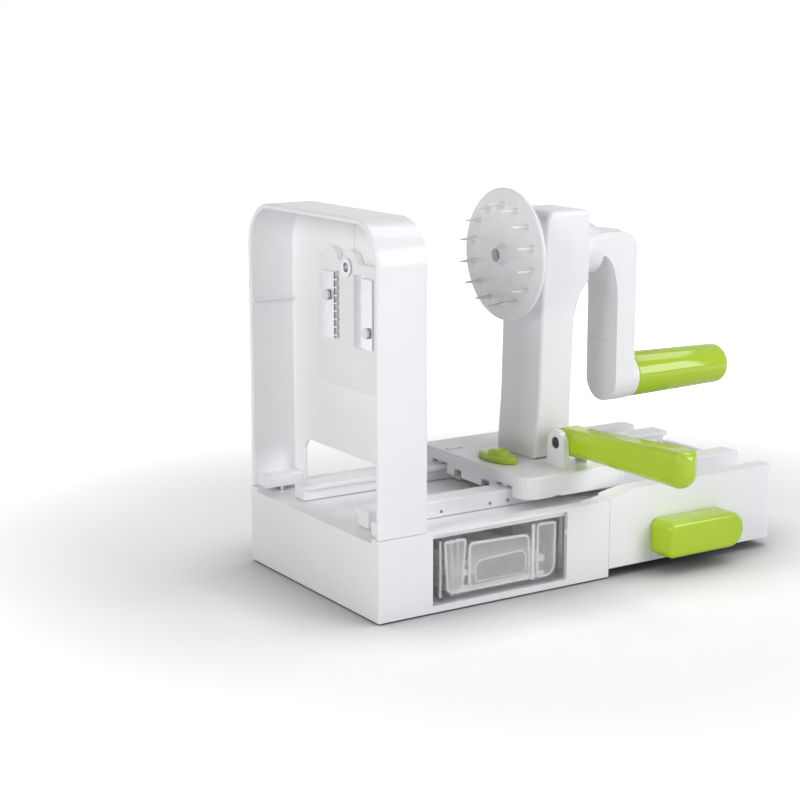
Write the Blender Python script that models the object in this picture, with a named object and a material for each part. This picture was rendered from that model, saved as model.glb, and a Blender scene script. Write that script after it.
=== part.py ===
# Spiralizer: a hand cranked vegetable noodle cutter on a two-part base, built from separate pieces.
# Sizes are in millimetres in a measuring frame: x runs along the base from the open face of the blade
# housing, y runs across it with the near side negative, z is zero at the bottom of the front base.

import math

import bmesh
import bpy
from mathutils import Matrix, Vector

MM = 0.001
WELD = 0.000002
GAP = 0.3
SLIDE_GAP = 0.4
WALL = 3.0

BODY_HALF = 70.0
FOOT_PROUD = 1.0

# Front base
FRONT_LENGTH = 153.3
FRONT_TOP = 44.6
DECK_TOP = 42.0
DECK_THICK = 2.2
FRONT_RIM = 7.0
RAMP_START = 148.5
RAMP_END = 173.0
RAMP_RIM = 9.0

# Rear base
BASE_LENGTH = 278.0
REAR_BOTTOM = 4.7
REAR_TOP = 49.4
REAR_RIM = 11.0
REAR_END_TOP = 45.9
REAR_END_THICK = 4.0
RIM_SKIN = 2.5
REAR_CORNER = 4.0

# Rails
RAIL_START = 12.0
RAIL_INNER = 25.6
RAIL_OUTER = 39.95
RAIL_TOP = 51.5
RAIL_LIP_REACH = 3.4
RAIL_LIP_THICK = 2.5
RAIL_HOLES_X = (59.4, 92.0, 104.4)
RAIL_HOLE_Z = 45.2
RAIL_HOLE_RADIUS = 1.1
RAIL_SCREW_INSET = 12.0

# Drawer in the front base
DRAWER_OPEN_X0 = 33.9
DRAWER_OPEN_X1 = 123.5
DRAWER_OPEN_Z0 = 3.5
DRAWER_OPEN_Z1 = 42.7
DRAWER_BOX_X0 = 39.5
DRAWER_BOX_X1 = 119.0
DRAWER_BACK = 35.0
DRAWER_WALL = 1.6
DRAWER_PANEL = 2.2
DRAWER_NOTCH_Z = 31.0
DRAWER_NOTCH = 2.0

# Blade housing
HOUSING_DEPTH = 30.5
HOUSING_TOP = 210.1
HOUSING_CORNER = 24.0
HOUSING_BACK = 2.5
TUNNEL_INSET = 13.0
TUNNEL_TOP = 72.0
TUNNEL_CORNER = 8.0
SIDE_RIB_Z = 153.5
SIDE_RIB_THICK = 2.0
SIDE_RIB_DEEP = 2.0
CENTRE_RIB_Z = 188.0
CENTRE_RIB_Y = (-1.4, 0.4)
HOUSING_FOOT_PROUD = 0.2
HOUSING_FOOT_TOP = 52.0
HOUSING_SCREW_X = (15.0,)
HOUSING_SCREW_INSET = 10.0

# Blade insert
AXIS_Z = 178.1
INSERT_Y0 = -30.0
INSERT_Y1 = 32.0
INSERT_BOTTOM = 112.0
INSERT_TOP = 181.0
INSERT_THICK = 3.7
LOBE_RADIUS = 8.8
LOBE_Z = 178.7
LOBES_Y = (-2.5, 18.5)
WINDOW_HALF = 26.4
WINDOW_BOTTOM = 118.0
WINDOW_TOP = 178.4
CORE_WINDOW = 6.0
BLADE_SHEET = 0.8
BLADE_BACK_Y = -27.0
BLADE_BEND_Y = -17.0
BLADE_EDGE_Y = -10.5
BLADE_BOTTOM = 136.0
BLADE_TOP = 174.0
BLADE_PROUD = 0.9
EXIT_SLOT_END_Y = -6.5
COMB_Y = 9.5
COMB_BACK_Y = 27.0
COMB_TEETH = 8
COMB_PITCH = 4.4
COMB_TOOTH = 0.8
CORER_RADIUS = 3.5

# Carriage
CARRIAGE_X0 = 106.5
CARRIAGE_X1 = 181.0
CARRIAGE_PLAY = 3.1
CARRIAGE_TOP = 59.8
CARRIAGE_SKIRT_Z = 46.8
CARRIAGE_OVER_RAIL_Z = 52.6
CARRIAGE_CORNER = 8.0
GUIDE_FOOT_Z = 46.6
GUIDE_FOOT_INNER = 18.0
CENTRE_BLOCK_HALF = 10.3
CENTRE_BLOCK_Z = 50.9
GLIDE_HALF = 2.0
SKIRT_NOTCH_X = 128.2
SKIRT_NOTCH_RADIUS = 6.35
SKIRT_NOTCH_DROP = 5.0
MARK_X = (111.0, 121.0)
MARK_Y = (29.0, 33.0)
MARK_HIGH = 0.5
GUIDE_SHOE_NEAR_X = 146.0
GUIDE_SHOE_FAR_X = 112.0
GUIDE_SHOE_END = 5.0

# Tower
TOWER_BASE_Z = CARRIAGE_TOP + GAP
TOWER_HALF = 19.25
TOWER_ABOVE_AXIS = 24.9
TOWER_WALL = 3.0
TOWER_LEFT = (
    (138.2, TOWER_BASE_Z), (139.2, 78.0), (140.3, 95.0), (141.0, 130.0), (141.9, 153.0), (143.7, 187.0),
)
TOWER_RIGHT = (
    (163.5, TOWER_BASE_Z), (163.7, 81.0), (164.3, 92.5), (165.5, 134.0), (166.3, 143.0),
    (169.1, 151.0), (170.4, 154.4), (175.4, 160.0), (176.7, 168.0),
)
TOWER_TOP_LEFT_X = 150.5
TOWER_TOP_RIGHT_X = 176.0
COVER_THICK = 2.4
TOWER_SCREWS = ((151.5, 11.0),)

# Food holder and crank
DISC_RADIUS = 38.1
DISC_X0 = 127.9
DISC_X1 = 130.5
SPIKE_COUNT = 14
SPIKE_RING = 28.9
SPIKE_TIP_X = 117.0
SPIKE_RADIUS = 1.75
SHAFT_RADIUS = 4.2
HOLDER_HUB_RADIUS = 11.0
CRANK_HUB_RADIUS = 15.0
CRANK_HUB_X0 = 177.0
CRANK_LEG_X0 = 190.0
CRANK_LEG_Z0 = 174.6
CRANK_LEG_Z1 = 188.0
CRANK_ARM_X0 = 201.5
CRANK_ARM_X1 = 215.5
CRANK_HALF = 14.0
CRANK_OUTER_RADIUS = 11.0
CRANK_CROWN_SHORT = 4.0
CRANK_INNER_Z = 146.0
GRIP_Z = 98.8
BOSS_RADIUS = 13.5
BOSS_LENGTH = 5.0
GRIP_X1 = 298.0
GRIP_DOME = 8.0
GRIP_TIP_RADIUS = 12.2
GRIP_PIN_RADIUS = 3.5

# Push handle on the carriage
EAR_X0 = 140.4
EAR_THICK = 4.0
EAR_RADIUS = 7.3
EAR_FOOT = 8.2
LUG_FOOT = 5.5
PIN_Y = -35.6
PIN_Z = 73.0
HANDLE_X1 = 159.0
HANDLE_ROOT_RADIUS = 8.1
HANDLE_TIP_Y = -138.6
HANDLE_BOTTOM_Z = 65.2
HANDLE_TOP_Z = 86.3
HANDLE_PEAK_Y = -125.0
HANDLE_TIP_TOP_RADIUS = 5.0
HANDLE_TIP_LOW_RADIUS = 9.5
LUG_RADIUS = 4.5
LUG_THICK = 3.7
HANDLE_PIN_RADIUS = 3.2
HANDLE_PIN_END_RADIUS = 2.2

# Carriage latch
LATCH_X = 121.0
LATCH_Y = -6.5
KNOB_HALF_LENGTH = 16.5
KNOB_HALF_WIDTH = 7.5
KNOB_PLATE = 3.4
KNOB_BOSS_RADIUS = 6.2
KNOB_TOP = 66.2
SPINDLE_RADIUS = 3.9
LATCH_REACH = 21.3
LATCH_BAR_HALF = 3.0
LATCH_BAR_THICK = 2.0
LATCH_BAR_TAIL = 8.0
LATCH_SWEEP = 15.5

# Suction lock
LEVER_X0 = 184.0
LEVER_PIVOT_X = 230.5
LEVER_PIVOT_Z = 19.5
LEVER_RADIUS = 10.5
LEVER_OUT = 16.4
LEVER_FACE = 4.0
LEVER_SHAFT_RADIUS = 4.0
ECCENTRIC_RADIUS = 8.0
ECCENTRIC_THROW = 2.5
YOKE_PLAY = 0.9
CUP_RADIUS = 42.0
STEM_RADIUS = 5.5
STEM_FOOT_RADIUS = 10.5
STEM_FOOT_Z0 = 1.9
STEM_FOOT_Z1 = 4.3

FOOT_RADIUS = 7.0
FOOT_INSET = 14.0

SCREW_RADIUS = 1.5
SCREW_HOLE = 1.8
SCREW_HEAD = 3.0
SCREW_HEAD_HIGH = 1.9
SCREW_DEEP = 11.0

X_MID = GRIP_X1 / 2.0
Y_MID = (HANDLE_TIP_Y + BODY_HALF) / 2.0

# Places that follow from the sizes above
DECK_BOTTOM = DECK_TOP - DECK_THICK
REAR_START = FRONT_LENGTH + GAP
RAIL_SCREW_X = (RAIL_START + RAIL_SCREW_INSET, BASE_LENGTH - RAIL_SCREW_INSET)
RAIL_MIDDLE = (RAIL_INNER + RAIL_OUTER) / 2.0
TUNNEL_HALF = BODY_HALF - TUNNEL_INSET
CARRIAGE_HALF = TUNNEL_HALF - CARRIAGE_PLAY
HOUSING_FOOT_INNER = TUNNEL_HALF + HOUSING_FOOT_PROUD
HOUSING_SCREW_Y = BODY_HALF - HOUSING_SCREW_INSET
FOOT_X = (FOOT_INSET, FRONT_LENGTH - FOOT_INSET)
FOOT_Y = BODY_HALF - WALL - FOOT_RADIUS - GAP
TOWER_TOP = AXIS_Z + TOWER_ABOVE_AXIS
HANDLE_X0 = EAR_X0 + EAR_THICK + GAP
AXIS = (0.0, AXIS_Z)
GRIP_AXIS = (0.0, GRIP_Z)

# Bottom covers
FRONT_COVER_TOP = DRAWER_OPEN_Z0
FRONT_COVER_BOTTOM = FRONT_COVER_TOP - 2.3
REAR_COVER_BOTTOM = REAR_BOTTOM + GAP
REAR_COVER_TOP = REAR_COVER_BOTTOM + 2.2
FRONT_POSTS = ((FRONT_LENGTH - 17.3, BODY_HALF - 22.0),)
REAR_POSTS = ((BASE_LENGTH - 11.0, BODY_HALF - 20.0),)
POST_RADIUS = 4.0
RECESS_RADIUS = SCREW_HEAD + 0.6
BEARING_HALF = 8.5
BEARING_Y = (18.0, 24.0)
BEARING_TOP = 31.0

# Insert and its blades along x
BACK_PLATE_X = HOUSING_DEPTH - HOUSING_BACK
INSERT_X1 = BACK_PLATE_X - GAP
INSERT_X0 = INSERT_X1 - INSERT_THICK
BLADE_X1 = INSERT_X0 - GAP
BLADE_X0 = BLADE_X1 - BLADE_SHEET
FOOD_FACE_X = HOUSING_DEPTH - 0.1
BLADE_TIP_X = HOUSING_DEPTH + BLADE_PROUD
BLADE_SCREW = (-22.5, 145.0)
COMB_SCREW = (19.0, 161.0)
COMB_Z = 139.0
COMB_PLATE_Y = COMB_Y + 3.4
SCREW_SEAT_X = BLADE_X0 - GAP
SCREW_FACE_X = SCREW_SEAT_X - 1.5
SCREW_TIP_X = FOOD_FACE_X - 2.2

# Shaft, bushes and grip pin along x
HUB_END_X = 142.0
SHAFT_X0 = 133.0
SHAFT_X1 = 187.0
BUSH_RADIUS = SHAFT_RADIUS + 2.5
BUSH_FLANGE = SHAFT_RADIUS + 4.8
COLLAR_RADIUS = SHAFT_RADIUS + 2.8
FRONT_BUSH_X = (143.6, 147.1, 149.0)
REAR_BUSH_X = (176.1, 173.4, 171.4)
PIN_START_X = 205.5
PIN_END_X = 288.0
CRANK_SCREW_X = CRANK_HUB_X0 + 6.0

# How far a cutter or a joined piece reaches past the face that it meets
OVER = 1.0
SIDES = ("near", "far")

COOL_WHITE = (0.86, 0.86, 0.88)
SHADE_WHITE = (0.80, 0.80, 0.80)
LIME_GREEN = (0.42, 0.60, 0.06)
CLEAR_GREY = (0.75, 0.78, 0.80)
STEEL_GREY = (0.62, 0.63, 0.65)
NYLON_WHITE = (0.70, 0.69, 0.66)
RUBBER_GREY = (0.12, 0.12, 0.12)
CUP_GREY = (0.55, 0.56, 0.57)


def clear_scene():
    """Remove every object that the scene starts with."""
    for obj in list(bpy.data.objects):
        bpy.data.objects.remove(obj, do_unlink=True)


def place(point):
    """Turn a point of the measuring frame into world metres."""
    x, y, z = point
    return ((x - X_MID) * MM, (y - Y_MID) * MM, (z + FOOT_PROUD) * MM)


def solid(name, points, faces):
    """Make an object from points in the measuring frame, with outward faces."""
    mesh = bpy.data.meshes.new(name)
    mesh.from_pydata([place(point) for point in points], [], faces)
    work = bmesh.new()
    work.from_mesh(mesh)
    bmesh.ops.recalc_face_normals(work, faces=work.faces)
    work.to_mesh(mesh)
    work.free()
    obj = bpy.data.objects.new(name, mesh)
    bpy.context.scene.collection.objects.link(obj)
    return obj


def on_axis(axis, along, first, second):
    """Put a length along an axis together with its two cross coordinates."""
    if axis == "X":
        return (along, first, second)
    if axis == "Y":
        return (first, along, second)
    return (first, second, along)


def prism(name, outline, axis, low, high):
    """Extrude a flat outline along X (outline in y, z), Y (in x, z) or Z (in x, y)."""
    count = len(outline)
    points = [on_axis(axis, low, a, b) for a, b in outline]
    points += [on_axis(axis, high, a, b) for a, b in outline]
    faces = [list(range(count)), list(range(2 * count - 1, count - 1, -1))]
    for i in range(count):
        j = (i + 1) % count
        faces.append([i, j, count + j, count + i])
    return solid(name, points, faces)


def box(name, xs, ys, zs):
    """Make a plain block from three ranges."""
    outline = [(xs[0], ys[0]), (xs[1], ys[0]), (xs[1], ys[1]), (xs[0], ys[1])]
    return prism(name, outline, "Z", zs[0], zs[1])


def lathe(name, profile, axis, centre, segments=24):
    """Turn a profile of (radius, position) pairs round an axis; radius 0 at both ends closes it."""
    closed = profile[0][0] > 0
    flat_start = not closed and profile[0][1] == profile[1][1]
    flat_end = not closed and profile[-1][1] == profile[-2][1]
    if flat_start:
        profile = profile[1:]
    if flat_end:
        profile = profile[:-1]
    rings = []
    points = []
    for radius, along in profile:
        if radius == 0:
            rings.append([len(points)] * segments)
            points.append(on_axis(axis, along, centre[0], centre[1]))
            continue
        rings.append(list(range(len(points), len(points) + segments)))
        for k in range(segments):
            angle = 2.0 * math.pi * k / segments
            first = centre[0] + radius * math.cos(angle)
            second = centre[1] + radius * math.sin(angle)
            points.append(on_axis(axis, along, first, second))
    faces = []
    if flat_start:
        faces.append(rings[0])
    if flat_end:
        faces.append(rings[-1])
    steps = len(rings) if closed else len(rings) - 1
    for i in range(steps):
        lower = rings[i]
        upper = rings[(i + 1) % len(rings)]
        for k in range(segments):
            n = (k + 1) % segments
            corners = [lower[k], lower[n], upper[n], upper[k]]
            face = list(dict.fromkeys(corners))
            if len(face) > 2:
                faces.append(face)
    return solid(name, points, faces)


def rod(name, axis, centre, radius, low, high, segments=24):
    """Make a round bar."""
    return lathe(name, [(0, low), (radius, low), (radius, high), (0, high)], axis, centre, segments)


def arc(centre, radius, start, end, steps):
    """List points along a circular arc, angles in degrees."""
    points = []
    for k in range(steps + 1):
        angle = math.radians(start + (end - start) * k / steps)
        points.append((centre[0] + radius * math.cos(angle), centre[1] + radius * math.sin(angle)))
    return points


def mirrored(outline):
    """Complete the outline of a symmetric section from its positive half, listed outwards."""
    return list(outline) + [(-a, b) for a, b in reversed(outline)]


def bake(obj):
    """Replace an object's mesh by its result after modifiers."""
    bpy.context.view_layer.update()
    graph = bpy.context.evaluated_depsgraph_get()
    result = bpy.data.meshes.new_from_object(obj.evaluated_get(graph))
    work = bmesh.new()
    work.from_mesh(result)
    bmesh.ops.remove_doubles(work, verts=work.verts, dist=WELD)
    bmesh.ops.dissolve_degenerate(work, edges=work.edges, dist=WELD)
    work.to_mesh(result)
    work.free()
    previous = obj.data
    obj.modifiers.clear()
    obj.data = result
    bpy.data.meshes.remove(previous)


def combine(target, tools, operation):
    """Add, cut or keep the shared part of solids, then remove the tool solids."""
    for tool in tools:
        modifier = target.modifiers.new("combine", "BOOLEAN")
        modifier.operation = operation
        modifier.solver = "EXACT"
        modifier.object = tool
    bake(target)
    for tool in tools:
        bpy.data.objects.remove(tool, do_unlink=True)
    return target


def cut(target, *tools):
    """Cut the tools out of the target."""
    return combine(target, tools, "DIFFERENCE")


def join(target, *tools):
    """Join the tools onto the target."""
    return combine(target, tools, "UNION")


def keep_inside(target, *tools):
    """Keep what the target shares with the tools."""
    return combine(target, tools, "INTERSECT")


def soften(obj, width, segments=2, angle=40.0):
    """Round the sharp edges of a solid."""
    modifier = obj.modifiers.new("soften", "BEVEL")
    modifier.width = width * MM
    modifier.segments = segments
    modifier.limit_method = "ANGLE"
    modifier.angle_limit = math.radians(angle)
    bake(obj)
    return obj


def paint(obj, colour, roughness, metallic=0.0):
    """Give an object its own material and smooth shading between sharp edges."""
    material = bpy.data.materials.new(obj.name + "_surface")
    material.use_nodes = True
    shader = material.node_tree.nodes["Principled BSDF"]
    shader.inputs["Base Color"].default_value = (*colour, 1.0)
    shader.inputs["Roughness"].default_value = roughness
    shader.inputs["Metallic"].default_value = metallic
    material.diffuse_color = (*colour, 1.0)
    obj.data.materials.clear()
    obj.data.materials.append(material)
    obj.data.shade_smooth()
    obj.data.set_sharp_from_angle(angle=math.radians(30.0))
    return obj


def build_screw(name, axis, centre, head, seat, tip):
    """Make a screw with its head face at head, the underside at seat and its end at tip."""
    profile = [
        (0, head), (SCREW_HEAD, head), (SCREW_HEAD, seat), (SCREW_RADIUS, seat), (SCREW_RADIUS, tip),
        (0, tip),
    ]
    return paint(lathe(name, profile, axis, centre, 12), STEEL_GREY, 0.3, 1.0)


def screw_hole(axis, centre, low, high):
    """Make the cutter for a screw's clearance hole."""
    return rod("hole", axis, centre, SCREW_HOLE, low, high, 12)


def both_sides(positions):
    """List positions on the near and the far side."""
    return [(x, side * y) for x, y in positions for side in (-1.0, 1.0)]


def cover_posts(positions, cover_top):
    """Make the posts that hang from the deck and take the cover's screws."""
    span = (cover_top + GAP, DECK_BOTTOM + OVER)
    return [rod("post", "Z", at, POST_RADIUS, *span, 16) for at in both_sides(positions)]


def post_holes(positions, cover_top):
    """Make the screw holes of the posts."""
    return [screw_hole("Z", at, cover_top - OVER, cover_top + SCREW_DEEP) for at in both_sides(positions)]


def deck_holes(xs, y, low, high):
    """Make upright holes at the given x positions on both sides."""
    return [screw_hole("Z", at, low, high) for at in both_sides([(x, y) for x in xs])]


def ramp(name, side, across, end, level):
    """Solid between the ramp on the rim and a level; the ramp starts sooner towards the middle."""
    steps = 8
    points = []
    for y in across:
        start = RAMP_START + y - BODY_HALF
        for k in range(steps + 1):
            x = start + (end - start) * k / steps
            share = (x - start) / (RAMP_END - start)
            height = FRONT_TOP + (REAR_TOP - FRONT_TOP) * share * share * (3.0 - 2.0 * share)
            points.append((x, side * y, height))
        points += [(end, side * y, level), (start, side * y, level)]
    count = steps + 3
    faces = [list(range(count)), list(range(2 * count - 1, count - 1, -1))]
    for i in range(count):
        j = (i + 1) % count
        faces += [[i, j, count + j], [i, count + j, count + i]]
    return solid(name, points, faces)


def build_front_base():
    """Front module: walls, deck with a rim, the drawer's opening and the rise towards the rear module."""
    half = BODY_HALF
    rim = half - FRONT_RIM
    section = [
        (rim, DECK_TOP), (rim, FRONT_TOP), (half, FRONT_TOP), (half, 0.0), (half - WALL, 0.0),
        (half - WALL, DECK_BOTTOM),
    ]
    base = prism("front_base", mirrored(section), "X", 0.0, FRONT_LENGTH)
    width = (WALL / 2.0 - half, half - WALL / 2.0)
    first = box("wall", (0.0, WALL), width, (0.0, DECK_BOTTOM + OVER))
    last = box("wall", (FRONT_LENGTH - WALL, FRONT_LENGTH), width, (0.0, DECK_BOTTOM + OVER))
    near_rise, far_rise = [
        ramp("rise", side, (half, half - RAMP_RIM), FRONT_LENGTH, FRONT_TOP - OVER) for side in (-1.0, 1.0)
    ]
    join(base, first, last, near_rise, far_rise, *cover_posts(FRONT_POSTS, FRONT_COVER_TOP))
    opening_x = (DRAWER_OPEN_X0, DRAWER_OPEN_X1)
    opening = box("opening", opening_x, (-half - OVER, WALL + 0.4 - half), (DRAWER_OPEN_Z0, DRAWER_OPEN_Z1))
    deck = (DECK_BOTTOM - OVER, DECK_TOP + OVER)
    rail_holes = deck_holes(RAIL_SCREW_X[:1], RAIL_MIDDLE, *deck)
    foot_holes = deck_holes(HOUSING_SCREW_X, HOUSING_SCREW_Y, *deck)
    cut(base, opening, *rail_holes, *foot_holes, *post_holes(FRONT_POSTS, FRONT_COVER_TOP))
    return paint(base, COOL_WHITE, 0.3)


def build_rear_base():
    """Rear module: higher hollow rims, the deck, the end wall and the hole for the lever's shaft."""
    half = BODY_HALF
    rim = half - REAR_RIM
    section = [
        (rim, DECK_TOP), (rim, REAR_TOP), (half, REAR_TOP), (half, REAR_BOTTOM), (half - WALL, REAR_BOTTOM),
        (half - WALL, REAR_TOP - RIM_SKIN), (rim + RIM_SKIN, REAR_TOP - RIM_SKIN),
        (rim + RIM_SKIN, DECK_BOTTOM),
    ]
    base = prism("rear_base", mirrored(section), "X", REAR_START, BASE_LENGTH)
    width = (WALL / 2.0 - half, half - WALL / 2.0)
    first = box("wall", (REAR_START, REAR_START + WALL), width, (REAR_BOTTOM, DECK_BOTTOM + OVER))
    end_x = (BASE_LENGTH - REAR_END_THICK, BASE_LENGTH)
    last = box("wall", end_x, width, (REAR_BOTTOM, DECK_BOTTOM + OVER))
    stop = box("wall", end_x, (GAP - RAIL_INNER, RAIL_INNER - GAP), (DECK_BOTTOM, REAR_END_TOP))
    rim_ends = [
        box("wall", end_x, (side * (half - WALL / 2.0), side * (rim + 1.0)), (DECK_BOTTOM, REAR_TOP - 1.0))
        for side in (-1.0, 1.0)
    ]
    fill_x = (REAR_START, RAMP_END + WALL)
    fill_z = (DECK_BOTTOM, REAR_TOP - OVER)
    fills = [
        box("fill", fill_x, sorted((side * (rim + OVER), side * (half - OVER))), fill_z) for side in (-1.0, 1.0)
    ]
    join(base, first, last, stop, *rim_ends, *fills, *cover_posts(REAR_POSTS, REAR_COVER_TOP))
    plan = [(REAR_START - OVER, -half)]
    plan += arc((BASE_LENGTH - REAR_CORNER, REAR_CORNER - half), REAR_CORNER, -90.0, 0.0, 5)
    plan += arc((BASE_LENGTH - REAR_CORNER, half - REAR_CORNER), REAR_CORNER, 0.0, 90.0, 5)
    plan.append((REAR_START - OVER, half))
    keep_inside(base, prism("plan", plan, "Z", REAR_BOTTOM - OVER, REAR_TOP + OVER))
    pivot = (LEVER_PIVOT_X, LEVER_PIVOT_Z)
    shaft_hole = rod("hole", "Y", pivot, LEVER_SHAFT_RADIUS + GAP, -half - OVER, WALL + OVER - half)
    rail_holes = deck_holes(RAIL_SCREW_X[1:], RAIL_MIDDLE, DECK_BOTTOM - OVER, DECK_TOP + OVER)
    cut(base, shaft_hole, *rail_holes, *post_holes(REAR_POSTS, REAR_COVER_TOP))
    across = (half + OVER, rim - OVER)
    cut(base, *[ramp("ramp", side, across, RAMP_END, REAR_TOP + OVER) for side in (-1.0, 1.0)])
    return paint(base, COOL_WHITE, 0.3)


def recess(at, low):
    """Make the cutter for a screw's hole with a recess for its head, from below."""
    seat = low + 1.4
    profile = [
        (0, low - OVER), (RECESS_RADIUS, low - OVER), (RECESS_RADIUS, seat), (SCREW_HOLE, seat),
        (SCREW_HOLE, low + 5.0), (0, low + 5.0),
    ]
    return lathe("recess", profile, "Z", at, 16)


def build_front_cover():
    """Bottom cover of the front module, which the drawer slides on."""
    inset = WALL + GAP
    cover = box(
        "front_cover", (inset, FRONT_LENGTH - inset), (inset - BODY_HALF, BODY_HALF - inset),
        (FRONT_COVER_BOTTOM, FRONT_COVER_TOP),
    )
    cut(cover, *[recess(at, FRONT_COVER_BOTTOM) for at in both_sides(FRONT_POSTS)])
    return paint(cover, SHADE_WHITE, 0.5)


def build_rear_cover():
    """Bottom cover of the rear module with the two bearings of the lever's shaft."""
    inset = WALL + GAP
    cover = box(
        "rear_cover", (REAR_START + inset, BASE_LENGTH - REAR_END_THICK - GAP),
        (inset - BODY_HALF, BODY_HALF - inset), (REAR_COVER_BOTTOM, REAR_COVER_TOP),
    )
    span = (LEVER_PIVOT_X - BEARING_HALF, LEVER_PIVOT_X + BEARING_HALF)
    near = box("bearing", span, (-BEARING_Y[1], -BEARING_Y[0]), (REAR_COVER_TOP - OVER, BEARING_TOP))
    far = box("bearing", span, BEARING_Y, (REAR_COVER_TOP - OVER, BEARING_TOP))
    join(cover, near, far)
    pivot = (LEVER_PIVOT_X, LEVER_PIVOT_Z)
    reach = BEARING_Y[1] + OVER
    bore = rod("bore", "Y", pivot, LEVER_SHAFT_RADIUS + GAP, -reach, reach)
    through = (REAR_COVER_BOTTOM - OVER, REAR_COVER_TOP + OVER)
    stem_hole = rod("hole", "Z", (LEVER_PIVOT_X, 0.0), STEM_RADIUS + SLIDE_GAP, *through)
    cut(cover, bore, stem_hole, *[recess(at, REAR_COVER_BOTTOM) for at in both_sides(REAR_POSTS)])
    return paint(cover, SHADE_WHITE, 0.5)


def build_cover_screws():
    """The screws of the two bottom covers."""
    modules = (("front", FRONT_POSTS, FRONT_COVER_BOTTOM), ("rear", REAR_POSTS, REAR_COVER_BOTTOM))
    for module, positions, low in modules:
        for side, at in zip(SIDES, both_sides(positions)):
            build_screw(f"{module}_cover_screw_{side}", "Z", at, low + 0.2, low + 1.1, low + SCREW_DEEP)


def build_rubber_feet():
    """Four rubber feet under the front module."""
    top = FRONT_COVER_BOTTOM - GAP
    profile = [
        (0, -FOOT_PROUD), (FOOT_RADIUS - 0.8, -FOOT_PROUD), (FOOT_RADIUS, 0.2 - FOOT_PROUD),
        (FOOT_RADIUS, top), (0, top),
    ]
    for end, x in zip(("left", "right"), FOOT_X):
        for side, at in zip(SIDES, both_sides([(x, FOOT_Y)])):
            paint(lathe(f"rubber_foot_{end}_{side}", profile, "Z", at, 16), RUBBER_GREY, 0.8)


def build_rail(name, side):
    """One guide rail: an upright web with a lip that points to the middle of the channel."""
    low = DECK_TOP + GAP
    lip_edge = RAIL_INNER + RAIL_LIP_REACH
    lip_low = RAIL_TOP - RAIL_LIP_THICK
    section = [
        (lip_edge, low), (RAIL_OUTER, low), (RAIL_OUTER, RAIL_TOP), (RAIL_INNER, RAIL_TOP),
        (RAIL_INNER, lip_low), (lip_edge, lip_low),
    ]
    rail = prism(name, [(side * y, z) for y, z in section], "X", RAIL_START, BASE_LENGTH)
    soften(rail, 0.4, 1)
    holes = [screw_hole("Z", (x, side * RAIL_MIDDLE), low - OVER, low + 6.4) for x in RAIL_SCREW_X]
    for x in RAIL_HOLES_X:
        ends = sorted((side * (RAIL_OUTER - 3.0), side * (RAIL_OUTER + OVER)))
        holes.append(rod("hole", "Y", (x, RAIL_HOLE_Z), RAIL_HOLE_RADIUS, ends[0], ends[1], 12))
    cut(rail, *holes)
    return paint(rail, COOL_WHITE, 0.3)


def build_rail_screws():
    """Screws that hold the rails from below the deck."""
    seat = DECK_BOTTOM - GAP
    for end, x in zip(("left", "right"), RAIL_SCREW_X):
        for side, at in zip(SIDES, both_sides([(x, RAIL_MIDDLE)])):
            build_screw(f"rail_screw_{end}_{side}", "Z", at, seat - SCREW_HEAD_HIGH, seat, DECK_TOP + 6.0)


def arch_outline(half, top, corner, low):
    """Outline of the housing in y and z: straight sides, rounded top corners."""
    outline = [(half, low)]
    outline += arc((half - corner, top - corner), corner, 0.0, 90.0, 8)
    outline += arc((corner - half, top - corner), corner, 90.0, 180.0, 8)
    return outline + [(-half, low)]


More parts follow.
